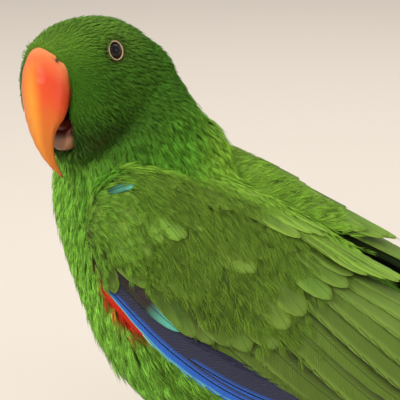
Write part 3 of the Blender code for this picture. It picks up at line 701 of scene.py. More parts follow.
def along(rows, t):
    """The rows of a table at fractional row numbers, on a smooth curve through every row."""
    rows = np.asarray(rows, float)
    t = np.clip(np.asarray(t, float), 0, len(rows) - 1)
    first = np.minimum(t.astype(int), len(rows) - 2)
    share = (t - first)[..., None]
    a, b, c, d = (rows[np.clip(first + k, 0, len(rows) - 1)] for k in (-1, 0, 1, 2))
    linear_part = 2 * b + (c - a) * share
    return 0.5 * (linear_part + (2 * a - 5 * b + 4 * c - d) * share**2 + (3 * b - a - 3 * c + d) * share**3)


draw = np.random.default_rng(5)
rings, run, turn_at = [], [], []
BILL_ROWS, BILL_SIDES = 90, 56
for t in np.linspace(0, len(UPPER_BILL) - 1, BILL_ROWS):
    ridge_a, ridge_c, edge_a, edge_c, half = along(UPPER_BILL, t)
    turn = 2 * math.pi * np.arange(BILL_SIDES) / BILL_SIDES
    rise = np.cos(turn)
    share = np.where(rise > 0, 0.5 + 0.5 * rise, 0.5 + 0.42 * rise)
    share = np.where(rise > 0, share**0.9, share)
    width = half * np.sign(np.sin(turn)) * np.abs(np.sin(turn)) ** 0.8 * (1 - 0.35 * np.maximum(rise, 0) ** 2)
    worn = 0.07 * np.sin(t * 9 + 2 * np.sin(turn * 2)) + 0.03 * draw.standard_normal(BILL_SIDES)
    notch = 0.9 * np.exp(-(((t - 5.3) / 0.35) ** 2)) * np.exp(-(((rise + 0.15) / 0.3) ** 2))
    share = share + notch * 0.06
    width = width * (1 - 0.1 * notch) * (1 + worn * 0.06)
    ring = np.stack([edge_a + (ridge_a - edge_a) * share + worn, width, edge_c + (ridge_c - edge_c) * share], axis=1)
    rings.append(on_head(ring))
    run += [t / (len(UPPER_BILL) - 1)] * BILL_SIDES
    turn_at += list(turn / math.pi)
last = rings[-1]
rings.append(on_head([(BILL_TIP[0], 0, BILL_TIP[1])]) + (last - last.mean(axis=0)) * 0.3)
run += [1.0] * BILL_SIDES
turn_at += turn_at[:BILL_SIDES]
bill = loft("bill_upper", rings)
bill_points = in_head(corners_of(bill.data))
from_nostril = np.min([np.linalg.norm((bill_points - (x, y, z)) * (0.8, 1, 1.5), axis=1) for x, y, z in (NOSTRIL, NOSTRIL * (1, -1, 1))], axis=0)
pit = 1 - ramp(from_nostril, 0.7, 1.6)
move_corners(bill.data, on_head(bill_points) - normals_of(bill.data) * (pit * 0.7)[:, None])
give(bill.data, "pit", pit)
turn_at = np.array(turn_at + [0, 0])
give(bill.data, "run", run + [0, 1])
give(bill.data, "flank", (1 - np.abs(1 - np.clip(turn_at, 0, 2))) * np.where(turn_at < 1, 1, 0.4))
bill_finish, tree, shader = finish("horn_orange", 0.3, 0.3)
shader.inputs["Subsurface Weight"].default_value = 0.05
shader.inputs["Subsurface Radius"].default_value = (0.003, 0.0012, 0.0006)
shader.inputs["Subsurface Scale"].default_value = 0.5
shader.inputs["Coat Weight"].default_value = 0.12
shader.inputs["Coat Roughness"].default_value = 0.15


def colour_ramp(tree, factor, stops):
    node = tree.nodes.new("ShaderNodeValToRGB")
    elements = node.color_ramp.elements
    elements[0].position, elements[0].color = stops[0][0], (*linear(*stops[0][1]), 1)
    elements[1].position, elements[1].color = stops[-1][0], (*linear(*stops[-1][1]), 1)
    for at, tone in stops[1:-1]:
        elements.new(at).color = (*linear(*tone), 1)
    tree.links.new(factor, node.inputs[0])
    return node.outputs[0]


def noise(tree, scale, detail=2.0, stretch=None):
    node = tree.nodes.new("ShaderNodeTexNoise")
    node.inputs["Scale"].default_value, node.inputs["Detail"].default_value = scale, detail
    if stretch is not None:
        tree.links.new(stretch, node.inputs["Vector"])
    return node.outputs[0]


down_bill, round_bill = stored(tree, "run"), stored(tree, "flank")
face = colour_ramp(
    tree,
    down_bill,
    ((0.0, (250, 196, 134)), (0.16, (250, 178, 106)), (0.25, (240, 118, 60)), (0.38, (226, 62, 22)), (0.48, (226, 76, 22)), (0.58, (216, 104, 18)), (0.7, (204, 110, 14)), (0.85, (206, 118, 18)), (1.0, (196, 116, 30))),
)
ridge = colour_ramp(
    tree,
    down_bill,
    ((0.0, (248, 196, 134)), (0.14, (248, 166, 96)), (0.28, (246, 124, 60)), (0.4, (250, 160, 40)), (0.5, (252, 174, 34)), (0.66, (242, 158, 26)), (0.82, (226, 138, 22)), (1.0, (202, 120, 30))),
)
amber = tree.nodes.new("ShaderNodeMapRange")
amber.inputs["From Min"].default_value, amber.inputs["From Max"].default_value = -0.04, 0.2
amber.inputs["To Min"].default_value, amber.inputs["To Max"].default_value = 1, 0
tree.links.new(round_bill, amber.inputs[0])
body = blend(tree, "MIX", amber.outputs[0], face, ridge)
flecks = noise(tree, 900, 4.0)
streak = sum_of(tree, "MULTIPLY", sum_of(tree, "GREATER_THAN", flecks, 0.6), 0.4)
body = blend(tree, "MIX", streak, body, linear(250, 176, 112))
clouds = sum_of(tree, "MULTIPLY", sum_of(tree, "SUBTRACT", noise(tree, 330, 6.0), 0.42, True), 3.0, True)
body = blend(tree, "MULTIPLY", clouds, body, linear(240, 196, 170))
worn_rim = sum_of(tree, "SUBTRACT", 1.0, sum_of(tree, "MULTIPLY", down_bill, 3.6), True)
peeled = sum_of(tree, "MULTIPLY", worn_rim, sum_of(tree, "GREATER_THAN", noise(tree, 1300, 3.0), 0.52))
body = blend(tree, "MIX", sum_of(tree, "MULTIPLY", peeled, 0.6), body, linear(250, 216, 176))
# Painted shade: the nostril pits, also sunk into the horn, are coloured nearly black.
body = blend(tree, "MIX", stored(tree, "pit"), body, linear(40, 16, 12))
tree.links.new(body, shader.inputs["Base Color"])
rough = sum_of(tree, "ADD", sum_of(tree, "MULTIPLY", noise(tree, 500, 3.0), 0.3), 0.2)
tree.links.new(rough, shader.inputs["Roughness"])
bump = tree.nodes.new("ShaderNodeBump")
bump.inputs["Strength"].default_value, bump.inputs["Distance"].default_value = 0.6, 0.0004
lines = sum_of(tree, "SINE", sum_of(tree, "ADD", sum_of(tree, "MULTIPLY", down_bill, 90), sum_of(tree, "MULTIPLY", noise(tree, 160), 9)), 0)
tree.links.new(sum_of(tree, "ADD", sum_of(tree, "MULTIPLY", lines, 0.25), noise(tree, 700, 5.0)), bump.inputs["Height"])
tree.links.new(bump.outputs[0], shader.inputs["Normal"])
bill.data.materials.append(bill_finish)
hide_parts("upper_mandible")
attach(bill, "root")

# Lower mandible and tongue: a short dark scoop with a tan, worn lip, and a thick dull tongue in it.
# They keep the forms of their solids, softened.
jaw = melt(cad_copy("bill_lower", "lower_mandible"), 0.0004, 6)
jaw_finish, tree, shader = finish("horn_dark", 0.4, 0.5)
jaw_local = in_head(corners_of(jaw.data))
jaw_low, jaw_high = jaw_local[:, 2].min(), jaw_local[:, 2].max()
give(jaw.data, "front", ramp(-jaw_local[:, 2], -jaw_low - 0.62 * (jaw_high - jaw_low), -jaw_low - 0.3 * (jaw_high - jaw_low)) * ramp(jaw_local[:, 0], 12, 18))
tone = colour_ramp(tree, stored(tree, "front"), ((0, (104, 40, 26)), (0.4, (92, 44, 28)), (0.65, (122, 84, 54)), (1, (184, 134, 98))))
mottled = blend(tree, "MULTIPLY", noise(tree, 1100, 4.0), tone, linear(150, 120, 110))
tree.links.new(mottled, shader.inputs["Base Color"])
jaw.data.materials.clear()
jaw.data.materials.append(jaw_finish)
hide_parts("lower_mandible")
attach(jaw, "root")
tongue = melt(cad_copy("tongue_soft", "tongue"), 0.0004, 8)
tongue_finish, tree, shader = finish("tongue_flesh", 0.35, 0.5)
tree.links.new(blend(tree, "MIX", noise(tree, 900, 3.0), linear(104, 38, 26), linear(140, 62, 44)), shader.inputs["Base Color"])
tongue.data.materials.clear()
tongue.data.materials.append(tongue_finish)
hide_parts("tongue")
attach(tongue, "root")

# The folded wings. Each is a bed of muscle and bone with rows of feathers laid over it like
# tiles: short coverts from the shoulder on, then the long flight feathers that they cover, with
# the scapulars of the back over the upper edge.
WING = (
    (-13, 36, 112, 35, 116, 2),
    (-11, 38.5, 98, 33, 126, 5),
    (0, 42.5, 84, 27, 131, 8),
    (18, 46, 70, 20, 127, 9.5),
    (44, 48, 57, 14, 115, 10),
    (76, 46, 48, 12.5, 95, 10),
    (108, 40, 43, 11.5, 77, 9.5),
    (142, 31, 41, 10.5, 62, 8.5),
    (178, 22, 37, 9, 48.5, 6.5),
    (208, 15.5, 30.5, 8, 38.5, 3),
)
RIGHT_LIFT = ((-13, 0), (10, 2), (45, 7), (90, 9), (140, 7), (208, 2))


def wing_sheet(x, q):
    """Outer face of the folded left wing: q runs from its lower edge, 0, to its upper edge, 1."""
    t = np.interp(x, [row[0] for row in WING], np.arange(len(WING)))
    ahead, low_y, low_z, top_y, top_z, thick = np.moveaxis(along(WING, t), -1, 0)
    turn = q * math.pi / 2
    y = top_y + (low_y - top_y) * np.cos(turn)
    z = low_z + (top_z - low_z) * np.sin(turn)
    return np.stack([ahead + (x - np.clip(x, -13, 208)), -y, z], axis=-1), thick


def wing_axes(x, q):
    """Directions on the sheet: along x, along q, and outwards."""
    step_x = (wing_sheet(x + 0.5, q)[0] - wing_sheet(x - 0.5, q)[0])
    step_q = (wing_sheet(x, q + 0.01)[0] - wing_sheet(x, q - 0.01)[0]) / 0.02
    return step_x, step_q, unit(np.cross(step_x, step_q))


def to_side(points, side):
    """The left wing's points as they are (side -1), or turned over for the right wing, a little higher."""
    if side < 0:
        return points
    lift = np.interp(points[..., 0], *zip(*RIGHT_LIFT))
    return points * (1, -1, 1) + np.stack([lift * 0, lift * 0.2, lift], axis=-1)


def on_wing(numbers, v, a, h):
    """Feather points on the left wing. numbers: root x, q, tip x, q, depth at root and tip, half width, bow."""
    root_x, root_q, tip_x, tip_q, root_deep, tip_deep, half, bow = (n[:, None] for n in numbers.T)
    x = root_x + (tip_x - root_x) * v
    q = root_q + (tip_q - root_q) * v + bow * np.sin(np.pi * np.clip(v, 0, 1))
    step_x, step_q, out = wing_axes(x, q)
    slope = tip_q - root_q + bow * np.pi * np.cos(np.pi * np.clip(v, 0, 1))
    run = unit(step_x * (tip_x - root_x)[..., None] + step_q * slope[..., None])
    over = unit(np.cross(out, run))
    over = over * np.sign((over * step_q).sum(axis=-1, keepdims=True))
    xx, xq, qq = (step_x**2).sum(-1), (step_x * step_q).sum(-1), (step_q**2).sum(-1)
    px, pq = (step_x * over).sum(-1), (step_q * over).sum(-1)
    fall = xx * qq - xq**2
    reach = a * half
    x = x + (px * qq - pq * xq) / fall * reach
    q = np.clip(q + (pq * xx - px * xq) / fall * reach, -0.3, 1.34)
    deep = root_deep + (tip_deep - root_deep) * v + 0.09 * reach - h
    return wing_sheet(x, q)[0] - wing_axes(x, q)[2] * deep[..., None]


def vane(stations, columns, outer, inner, blunt, fringe, seed, thick=0.35, camber=0.5):
    """A feather as a closed blade: v along its shaft, a across in half widths, h height in mm."""
    draw = np.random.default_rng(seed)
    v_at = np.concatenate([np.linspace(0, 0.7, stations - 4), (0.8, 0.89, 0.955, 1.0)])
    u_at = np.linspace(-1, 1, columns)
    tip_share = np.clip((v_at - (1 - blunt)) / blunt, 0, 1)
    wide = np.minimum(1, 0.5 + 1.7 * v_at) * np.sqrt(1 - np.minimum(tip_share, 0.985) ** 2)
    v, u = np.meshgrid(v_at, u_at, indexing="ij")
    a = u * wide[:, None] * np.where(u < 0, outer, inner) + draw.uniform(-0.02, 0.02, u.shape)
    h = camber * (1 - u * u) + 0.16 * (np.abs(u) < 1e-6) * (1 - 0.8 * v)
    top = np.stack([v, a, h, u, np.zeros(v.shape)], axis=-1).reshape(-1, 5)
    under = top.copy()
    under[:, 2] -= thick * (1 - 0.75 * top[:, 3] ** 2)
    under[:, 4] = 1
    at = np.arange(stations * columns).reshape(stations, columns)
    quads = np.stack([at[:-1, :-1], at[:-1, 1:], at[1:, 1:], at[1:, :-1]], axis=-1).reshape(-1, 4)
    low = quads[:, ::-1] + stations * columns
    rim = np.concatenate([at[0, :-1], at[:-1, -1], at[-1, :0:-1], at[:0:-1, 0]])
    sides = np.stack([rim, rim + stations * columns, np.roll(rim, -1) + stations * columns, np.roll(rim, -1)], axis=1)
    points = [top, under]
    faces = np.concatenate([quads, low, sides]).tolist()
    count = 2 * len(top)
    for k in range(fringe):
        share = (k + 0.5) / fringe
        bend = share * 2 - 1
        v0 = 1.0 - 0.75 * abs(bend) ** 1.3 - 0.05
        w0 = np.interp(v0, v_at, wide)
        sign = 1 if bend > 0 else -1
        lean = min(1, abs(bend) * 2.4)
        a0 = (bend * 1.6 * w0 if abs(bend) < 0.4 else sign * w0 * 0.86) * (outer if sign < 0 else inner)
        reach = draw.uniform(0.6, 1.2)
        a1, v1 = a0 + sign * 0.2 * lean * reach, v0 + (0.05 + 0.06 * (1 - lean)) * reach
        r = draw.uniform(0.022, 0.04)
        h0 = camber * 0.35
        blade = [
            (v0 - 0.03, a0 - r, h0, bend), (v0 - 0.03, a0 + r, h0, bend), (v0 - 0.03, a0, h0 + 0.14, bend),
            ((v0 + v1) / 2, (a0 + a1) / 2 - r, h0 * 0.9, bend), ((v0 + v1) / 2, (a0 + a1) / 2 + r, h0 * 0.9, bend),
            ((v0 + v1) / 2, (a0 + a1) / 2, h0 * 0.9 + 0.1, bend), (v1, a1, h0 * 0.7, bend),
        ]
        points.append(np.array([(*spot, 0) for spot in blade]))
        for c in range(3):
            faces.append((count + c, count + (c + 1) % 3, count + 3 + (c + 1) % 3, count + 3 + c))
            faces.append((count + 3 + c, count + 3 + (c + 1) % 3, count + 6))
        faces.append((count + 2, count + 1, count))
        count += 7
    return np.concatenate(points), faces


def lay(name, shapes, numbers, place, tints, side, strips=False, seed=3):
    """Lays a vane for each row of numbers and joins them in one mesh. Every feather keeps its own tint."""
    draw = np.random.default_rng(seed)
    numbers, tints = np.asarray(numbers, float), np.asarray(tints, float)
    shape_of = draw.integers(0, len(shapes), len(numbers))
    points, faces, tint, feel, edge, uv, count = [], [], [], [], [], [], 0
    for k, (template, template_faces) in enumerate(shapes):
        mine = np.flatnonzero(shape_of == k)
        if not len(mine):
            continue
        v, a, h, u, low = template.T
        made = to_side(place(numbers[mine], v[None], a[None], h[None]), side)
        run = np.linalg.norm(made[:, len(v) // 4] - made[:, 0], axis=1)
        chance = draw.uniform(0, 1, len(mine))
        length = np.linalg.norm(made.max(axis=1) - made.min(axis=1), axis=1)
        across = a[None] * numbers[mine, 6][:, None]
        for i, f in enumerate(mine):
            points.append(made[i])
            faces += [tuple(c + count for c in face) for face in template_faces]
            count += len(v)
            tint.append(np.tile(tints[f], (len(v), 1)))
            feel.append(np.stack([across[i], v * length[i], low], axis=1))
            edge.append(np.stack([u, v, np.full(len(v), chance[i])], axis=1))
            if strips:
                uv.append(np.stack([(f + 0.1 + 0.4 * (a + 1)) / len(numbers), 0.05 + 0.85 * v], axis=1))
            else:
                root = np.array(((numbers[f, 0] + 20) / 240, (numbers[f, 1] + 0.4) / 1.9))
                uv.append(root + np.stack([v, a * 0.5], axis=1) * 0.003)
    mesh = bpy.data.meshes.new(name)
    mesh.from_pydata((np.concatenate(points) * MM + STANDS).tolist(), [], faces)
    give(mesh, "tint", np.concatenate(tint), "FLOAT_COLOR")
    give(mesh, "feel", np.concatenate(feel), "FLOAT_VECTOR")
    give(mesh, "edge", np.concatenate(edge), "FLOAT_VECTOR")
    corner = np.empty(len(mesh.loops), int)
    mesh.loops.foreach_get("vertex_index", corner)
    layer = mesh.uv_layers.new(name="OFBake")
    layer.data.foreach_set("uv", np.concatenate(uv)[corner].ravel())
    mesh.shade_smooth()
    piece = linked(name, mesh)
    shape = bmesh.new()
    shape.from_mesh(mesh)
    bmesh.ops.recalc_face_normals(shape, faces=shape.faces)
    shape.to_mesh(mesh)
    shape.free()
    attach(piece, "root")
    return piece


def barb_lines():
    """Fine slanted barbs on both webs of a vane, from its stored feel: a mask of lines and a height."""
    group = bpy.data.node_groups.new("barb_lines", "ShaderNodeTree")
    group.interface.new_socket("Feel", in_out="INPUT", socket_type="NodeSocketVector")
    group.interface.new_socket("Spacing", in_out="INPUT", socket_type="NodeSocketFloat")
    group.interface.new_socket("Lines", in_out="OUTPUT", socket_type="NodeSocketFloat")
    group.interface.new_socket("Shaft", in_out="OUTPUT", socket_type="NodeSocketFloat")
    given = group.nodes.new("NodeGroupInput").outputs
    parts = group.nodes.new("ShaderNodeSeparateXYZ")
    group.links.new(given[0], parts.inputs[0])
    across = sum_of(group, "ABSOLUTE", parts.outputs[0], 0)
    warp = group.nodes.new("ShaderNodeTexNoise")
    warp.inputs["Scale"].default_value, warp.inputs["Detail"].default_value = 0.3, 2.0
    group.links.new(given[0], warp.inputs["Vector"])
    path = sum_of(group, "SUBTRACT", parts.outputs[1], sum_of(group, "MULTIPLY", across, 0.95))
    path = sum_of(group, "ADD", path, sum_of(group, "MULTIPLY", warp.outputs[0], 3.2))
    wave = sum_of(group, "SINE", sum_of(group, "DIVIDE", sum_of(group, "MULTIPLY", path, 6.283), given[1]), 0)
    out = group.nodes.new("NodeGroupOutput")
    group.links.new(sum_of(group, "ADD", sum_of(group, "MULTIPLY", wave, 0.5), 0.5), out.inputs[0])
    group.links.new(sum_of(group, "LESS_THAN", across, 0.22), out.inputs[1])
    return group


BARB_LINES = barb_lines()


def vane_finish(name, spacing, contrast, rim, at_edge, at_tip, shaft_tone, inner=None, under=(0.3, 0.3, 0.3), root=2.2, shaft=0.55, web=2.6, tip_from=0.8):
    """A vane's finish: its tint, barbs lighter and darker, a rim, a shaft, a darker inner web and underside."""
    made, tree, shader = finish(name, 0.55, 0.2)
    lines = tree.nodes.new("ShaderNodeGroup")
    lines.node_tree = BARB_LINES
    tree.links.new(stored(tree, "feel", "Vector"), lines.inputs[0])
    lines.inputs[1].default_value = spacing
    edge, feel = tree.nodes.new("ShaderNodeSeparateXYZ"), tree.nodes.new("ShaderNodeSeparateXYZ")
    tree.links.new(stored(tree, "edge", "Vector"), edge.inputs[0])
    tree.links.new(stored(tree, "feel", "Vector"), feel.inputs[0])
    tint = stored(tree, "tint", "Color")
    outward_share = sum_of(tree, "ABSOLUTE", edge.outputs[0], 0)
    if inner is not None:
        outward_share = sum_of(tree, "MULTIPLY", edge.outputs[0], -1)
        on_inner = sum_of(tree, "MULTIPLY", sum_of(tree, "SUBTRACT", edge.outputs[0], 0.04, True), web, True)
        tint = blend(tree, "MIX", on_inner, tint, inner)
    dark = blend(tree, "MULTIPLY", 1.0, tint, (1 - contrast, 1 - contrast * 0.9, 1 - contrast))
    light = blend(tree, "ADD", contrast * 0.16, tint, linear(200, 220, 110))
    barbs = blend(tree, "MIX", lines.outputs[0], dark, light)
    barbs = blend(tree, "MULTIPLY", sum_of(tree, "MULTIPLY", noise(tree, 260, 4.0), 0.5), barbs, linear(150, 160, 120))
    near_edge = sum_of(tree, "MULTIPLY", sum_of(tree, "SUBTRACT", outward_share, 0.6, True), 2.6 * at_edge)
    near_tip = sum_of(tree, "MULTIPLY", sum_of(tree, "SUBTRACT", edge.outputs[1], tip_from, True), 4.0 * at_tip)
    rimmed = blend(tree, "MIX", sum_of(tree, "MAXIMUM", near_edge, near_tip, True), barbs, rim)
    shafted = blend(tree, "MIX", sum_of(tree, "MULTIPLY", lines.outputs[1], shaft), rimmed, shaft_tone)
    root_dark = sum_of(tree, "SUBTRACT", 1.0, sum_of(tree, "MULTIPLY", edge.outputs[1], root), True)
    rooted = blend(tree, "MULTIPLY", root_dark, shafted, (0.35, 0.4, 0.35))
    tree.links.new(blend(tree, "MULTIPLY", feel.outputs[2], rooted, under), shader.inputs["Base Color"])
    bump = tree.nodes.new("ShaderNodeBump")
    bump.inputs["Strength"].default_value, bump.inputs["Distance"].default_value = 0.6, 0.00025
    tree.links.new(sum_of(tree, "ADD", lines.outputs[0], sum_of(tree, "MULTIPLY", noise(tree, 1500, 2.0), 0.6)), bump.inputs["Height"])
    tree.links.new(bump.outputs[0], shader.inputs["Normal"])
    return made


def tier(rows, count, wobble, draw):
    """Feathers between the rows of numbers, evenly spaced, each a little off its place."""
    made = along(rows, np.linspace(0, len(rows) - 1, count))
    return made + draw.normal(0, 1, made.shape) * np.asarray(wobble)


OVER_SCAPULARS = ((0.56, 0.1), (0.66, 0.9), (0.74, 1.5), (0.82, 1.9), (0.9, 2.2), (1.02, 2.6), (1.12, 3.6), (1.2, 4.0), (1.33, 3.1))


def wing_ground(name, ends, columns, rises, falls, side):
    """A sheet over the outer face of the wing for small feathers to grow on, and its x and q."""
    x, q = (v.ravel() for v in np.meshgrid(np.linspace(*ends, columns), np.linspace(0.12, 1.33, 48), indexing="ij"))
    sheet, axes = wing_sheet(x, q)[0], wing_axes(x, np.minimum(q, 1.2))
    lie = unit(axes[0] - axes[1] * 0.02)
    at = np.arange(columns * 48).reshape(columns, 48)
    faces = np.stack([at[:-1, :-1], at[1:, :-1], at[1:, 1:], at[:-1, 1:]], axis=-1).reshape(-1, 4)
    faces = faces if side < 0 else faces[:, ::-1]
    height = np.interp(q, *zip(*rises)) - np.interp(x, *zip(*falls)) * ramp(-q, -1.05, -0.9)
    points = to_side(sheet + axes[2] * height[:, None], side)
    ground = bpy.data.meshes.new(name)
    ground.from_pydata((points * MM + STANDS).tolist(), [], faces.tolist())
    mapped = ground.uv_layers.new(name="OFBake")
    mapped.data.foreach_set("uv", np.stack([(x + 20) / 240, (q + 0.4) / 1.9], axis=1)[faces.ravel()].ravel())
    give(ground, "lie", lie if side < 0 else lie * (1, -1, 1), "FLOAT_VECTOR")
    return ground, x, q


OLIVE, SHOULDER, LOW_WING_SHADE = linear(98, 130, 36), linear(112, 158, 48), linear(66, 92, 16)
SCAPULAR, SECONDARY, TERTIAL = linear(124, 164, 48), linear(98, 126, 34), linear(120, 150, 56)
BLUE, VIOLET, TURQUOISE, DARK_WEB = linear(30, 92, 196), linear(38, 34, 72), linear(88, 172, 150), linear(30, 30, 22)
covert_finish = vane_finish("covert_vane", 0.55, 0.42, linear(146, 182, 72), 0.5, 0.4, linear(70, 96, 30))
scapular_finish = vane_finish("scapular_vane", 0.55, 0.42, linear(164, 204, 76), 0.6, 0.5, linear(80, 110, 34))
flight_finish = vane_finish("flight_vane", 0.6, 0.4, linear(146, 178, 78), 0.5, 0.3, linear(40, 50, 22), DARK_WEB)
blue_finish = vane_finish("blue_vane", 0.8, 0.26, linear(120, 206, 196), 0.9, 0.3, linear(8, 8, 12), VIOLET, root=14, shaft=1.0, web=6.0)
alula_finish = vane_finish("alula_vane", 0.55, 0.3, TURQUOISE, 0.1, 1.0, linear(30, 24, 34), tip_from=0.6)
hair_plumes = plume_set("hair_plume", 5, 8, 0.3, 0.012, 0.03)
small_vanes = [vane(8, 5, 1, 1, 0.5, 26, 70 + k, 0.3, 0.7) for k in range(4)]
large_vanes = [vane(12, 7, 1, 1, 0.34, 44, 80 + k) for k in range(4)]
long_vanes = [vane(18, 7, 0.85, 1.1, 0.2, 30, 90 + k) for k in range(3)]
lead_vanes = [vane(18, 7, 0.42, 1.1, 0.12, 24, 100 + k) for k in range(2)]
bed_shade_and_lining_finish, tree, shader = finish("wing_bed", 0.9, 0.1)
# The bed's dark olive is painted shade, for the hollow between wing and body where it shows; along its lower front edge
# it takes the scarlet of the lining.
tree.links.new(blend(tree, "MIX", stored(tree, "lined"), linear(34, 46, 20), SCARLET), shader.inputs["Base Color"])

for side in (-1, 1):
    name = "left" if side < 0 else "right"
    draw = np.random.default_rng(30 + side)
    rings = []
    for x in np.linspace(-11.5, 100, 40):
        thick = wing_sheet(np.array(x), np.array(0.5))[1]
        q = np.linspace(0.02, 1, 12)
        top, out = wing_sheet(np.full(12, x), q)[0], wing_axes(np.full(12, x), np.minimum(q, 0.8))[2]
        sink = np.interp(x, (-12, 0, 20, 45, 100), (1.6, 2.2, 3.2, 5.0, 7.2))
        sink = min(sink, thick * 0.62)
        rings.append(to_side(np.concatenate([top - out * sink, (top - out * (thick - 0.8))[::-1]]), side))
    bed = loft("wing_bed_" + name, rings)
    bed.data.materials.append(bed_shade_and_lining_finish)
    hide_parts("wing_" + name)
    lining = bed.data.copy()
    spots = corners_of(lining)
    on_inside = np.array(([0] * 11 + [1] * 13) * 40 + [0, 0], float)
    up_share = (spots[:, 2] - np.interp(spots[:, 0], *zip(*WING_FRONT))) / 45
    low_edge = np.array(([1, 0.6] + [0] * 16 + [0.3, 0.6, 0.8, 1, 1, 1]) * 40 + [0, 0], float)
    give(bed.data, "lined", low_edge * ramp(spots[:, 0], -10.5, -7) * ramp(-spots[:, 0], -50, -24) * ramp(-up_share, -0.3, -0.12))
    give(lining, "region", on_inside * ramp(-spots[:, 0], -44, -26))
    give(lining, "length", np.full(len(spots), 6 * MM))
    give(lining, "lie", np.tile((0.95, 0.0, -0.3), (len(spots), 1)), "FLOAT_VECTOR")
    give(lining, "marking", mixed(np.tile(SCARLET, (len(spots), 1)), NECK, ramp(up_share, 0.2, 0.42)), "FLOAT_COLOR")
    corner = np.array([c for face in lining.polygons for c in face.vertices])
    mapped = lining.uv_layers.new(name="OFBake")
    mapped.data.foreach_set("uv", np.stack([(corner // 24) / 42, (corner % 24) / 25], axis=1).ravel())
    lining = grow("plumage_wing_front_" + name, lining, Feathers=body_plumes, Region="region", Spacing=1.6 * MM, Width=1.0, Lift=0.2, Disorder=0.3, Seed=70 + side, Finish=plume_finish)
    for piece in (bed, lining):
        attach(piece, "root")

    primaries = tier(((40, 0.05, 196, 0.12, 6.5, 5.0, 6.5, 0.02), (72, 0.34, 168, 0.64, 6.0, 3.6, 6.5, 0.02)), 7, (1, 0, 1.5, 0.01, 0.1, 0.1, 0.2, 0), draw)
    secondaries = tier(
        (
            (8, 0.30, 62, 0.03, 4.6, 2.6, 6.5, 0.0),
            (24, 0.60, 92, 0.06, 4.6, 1.8, 7.5, 0.0),
            (38, 0.86, 122, 0.34, 4.0, 1.4, 8.0, 0.02),
            (46, 1.00, 140, 0.78, 3.2, 1.0, 7.5, 0.04),
        ),
        10,
        (1, 0.012, 2.5, 0.018, 0.15, 0.25, 0.5, 0.006),
        draw,
    )
    if side > 0:
        secondaries[:, 4:6] += 2
    tone = draw.uniform(0.85, 1.15, (len(primaries), 1))
    # Painted shade: the lowest secondaries are tinted darker, down to 0.68 of the tone of the highest, for the shade
    # low on the wing.
    flights = lay("flight_feathers_" + name, long_vanes, np.concatenate([primaries, secondaries[:-3]]), on_wing, np.concatenate([SECONDARY * 0.8 * tone, SECONDARY * np.linspace(0.68, 1.08, 7)[:, None] * draw.uniform(0.85, 1.15, (7, 1))]), side, strips=True)
    tertials = lay("tertials_" + name, long_vanes, secondaries[-3:], on_wing, TERTIAL * draw.uniform(0.9, 1.1, (3, 1)), side, strips=True)
    tertials.data.materials.append(covert_finish)
    flights.data.materials.append(flight_finish)
    leading = tier(
        (
            (-7, 0.125, 58, 0.03, 1.2, 2.2, 7.0, -0.035),
            (-4, 0.10, 80, 0.065, 1.7, 2.5, 6.5, -0.015),
            (8, 0.10, 110, 0.075, 2.5, 3.0, 6.0, -0.01),
            (20, 0.10, 150, 0.08, 3.2, 3.5, 5.5, -0.01),
            (34, 0.10, 186, 0.105, 3.9, 3.9, 5.5, -0.01),
        ),
        6,
        (0.6, 0.004, 2, 0.004, 0.05, 0.05, 0.2, 0.002),
        draw,
    )
    leads = lay("leading_feathers_" + name, lead_vanes, leading, on_wing, BLUE * draw.uniform(0.75, 1.15, (6, 1)), side, strips=True)
    leads.data.materials.append(blue_finish)
    alula = np.array(((-6, 0.27, 17, 0.165, 1.2, 1.2, 2.7, -0.01), (-5, 0.785, 2, 0.8, -0.4, -1.9, 1.3, 0)))
    patch = lay("alula_" + name, large_vanes, alula, on_wing, (linear(50, 32, 44), TURQUOISE * 0.8), side)
    patch.data.materials.append(alula_finish)

    greater = tier(
        (
            (-2, 0.46, 17, 0.17, 2.6, 1.0, 5.0, 0.0),
            (14, 0.56, 36, 0.22, 2.6, 0.6, 6.0, 0.0),
            (30, 0.72, 58, 0.42, 2.4, 0.5, 6.5, 0.0),
            (42, 0.98, 73, 0.84, 2.2, 0.2, 6.5, 0.0),
        ),
        11,
        (1, 0.015, 1.2, 0.012, 0.15, 0.15, 0.3, 0.004),
        draw,
    )
    median = tier(
        (
            (-7, 0.50, 6, 0.24, 1.9, 0.5, 4.2, 0.0),
            (4, 0.66, 24, 0.36, 1.9, 0.2, 5.0, 0.0),
            (18, 0.84, 42, 0.58, 1.8, 0.1, 5.2, 0.0),
            (30, 1.05, 56, 0.92, 1.6, 0.0, 5.2, 0.0),
        ),
        13,
        (1.2, 0.02, 1.5, 0.02, 0.15, 0.15, 0.3, 0.005),
        draw,
    )
    lesser = []
    for row in range(7):
        s = row / 6
        first = np.array(((-8.5, 0.58, -1, 0.30), (-1, 0.74, 12, 0.50), (8, 0.92, 27, 0.72), (20, 1.10, 42, 1.0)))
        last = np.array(((-10.5, 0.78, -8, 0.55), (-9, 0.92, -3, 0.74), (-6, 1.04, 2, 0.92), (-1, 1.16, 10, 1.08)))
        path = first + (last - first) * s
        sizes = np.tile((1.5 - 0.2 * s, -0.2, 4.2 - 1.3 * s, 0.0), (4, 1))
        lesser.append(tier(np.concatenate([path, sizes], axis=1), 13 - row // 2, (0.8, 0.03, 0.9, 0.02, 0.12, 0.15, 0.3, 0.004), draw))
    front_edge = tier(((-10, 0.50, -7.0, 0.22, 1.2, 0.2, 3.0, 0), (-8, 0.34, -2.5, 0.13, 1.4, 0.5, 3.0, 0)), 5, (0.5, 0.02, 0.5, 0.01, 0.1, 0.1, 0.2, 0), draw)
    coverts = np.concatenate([greater, median])
    small = np.concatenate([*lesser, front_edge])
    for part, shapes, rows in (("coverts", large_vanes, coverts), ("shoulder", small_vanes, small)):
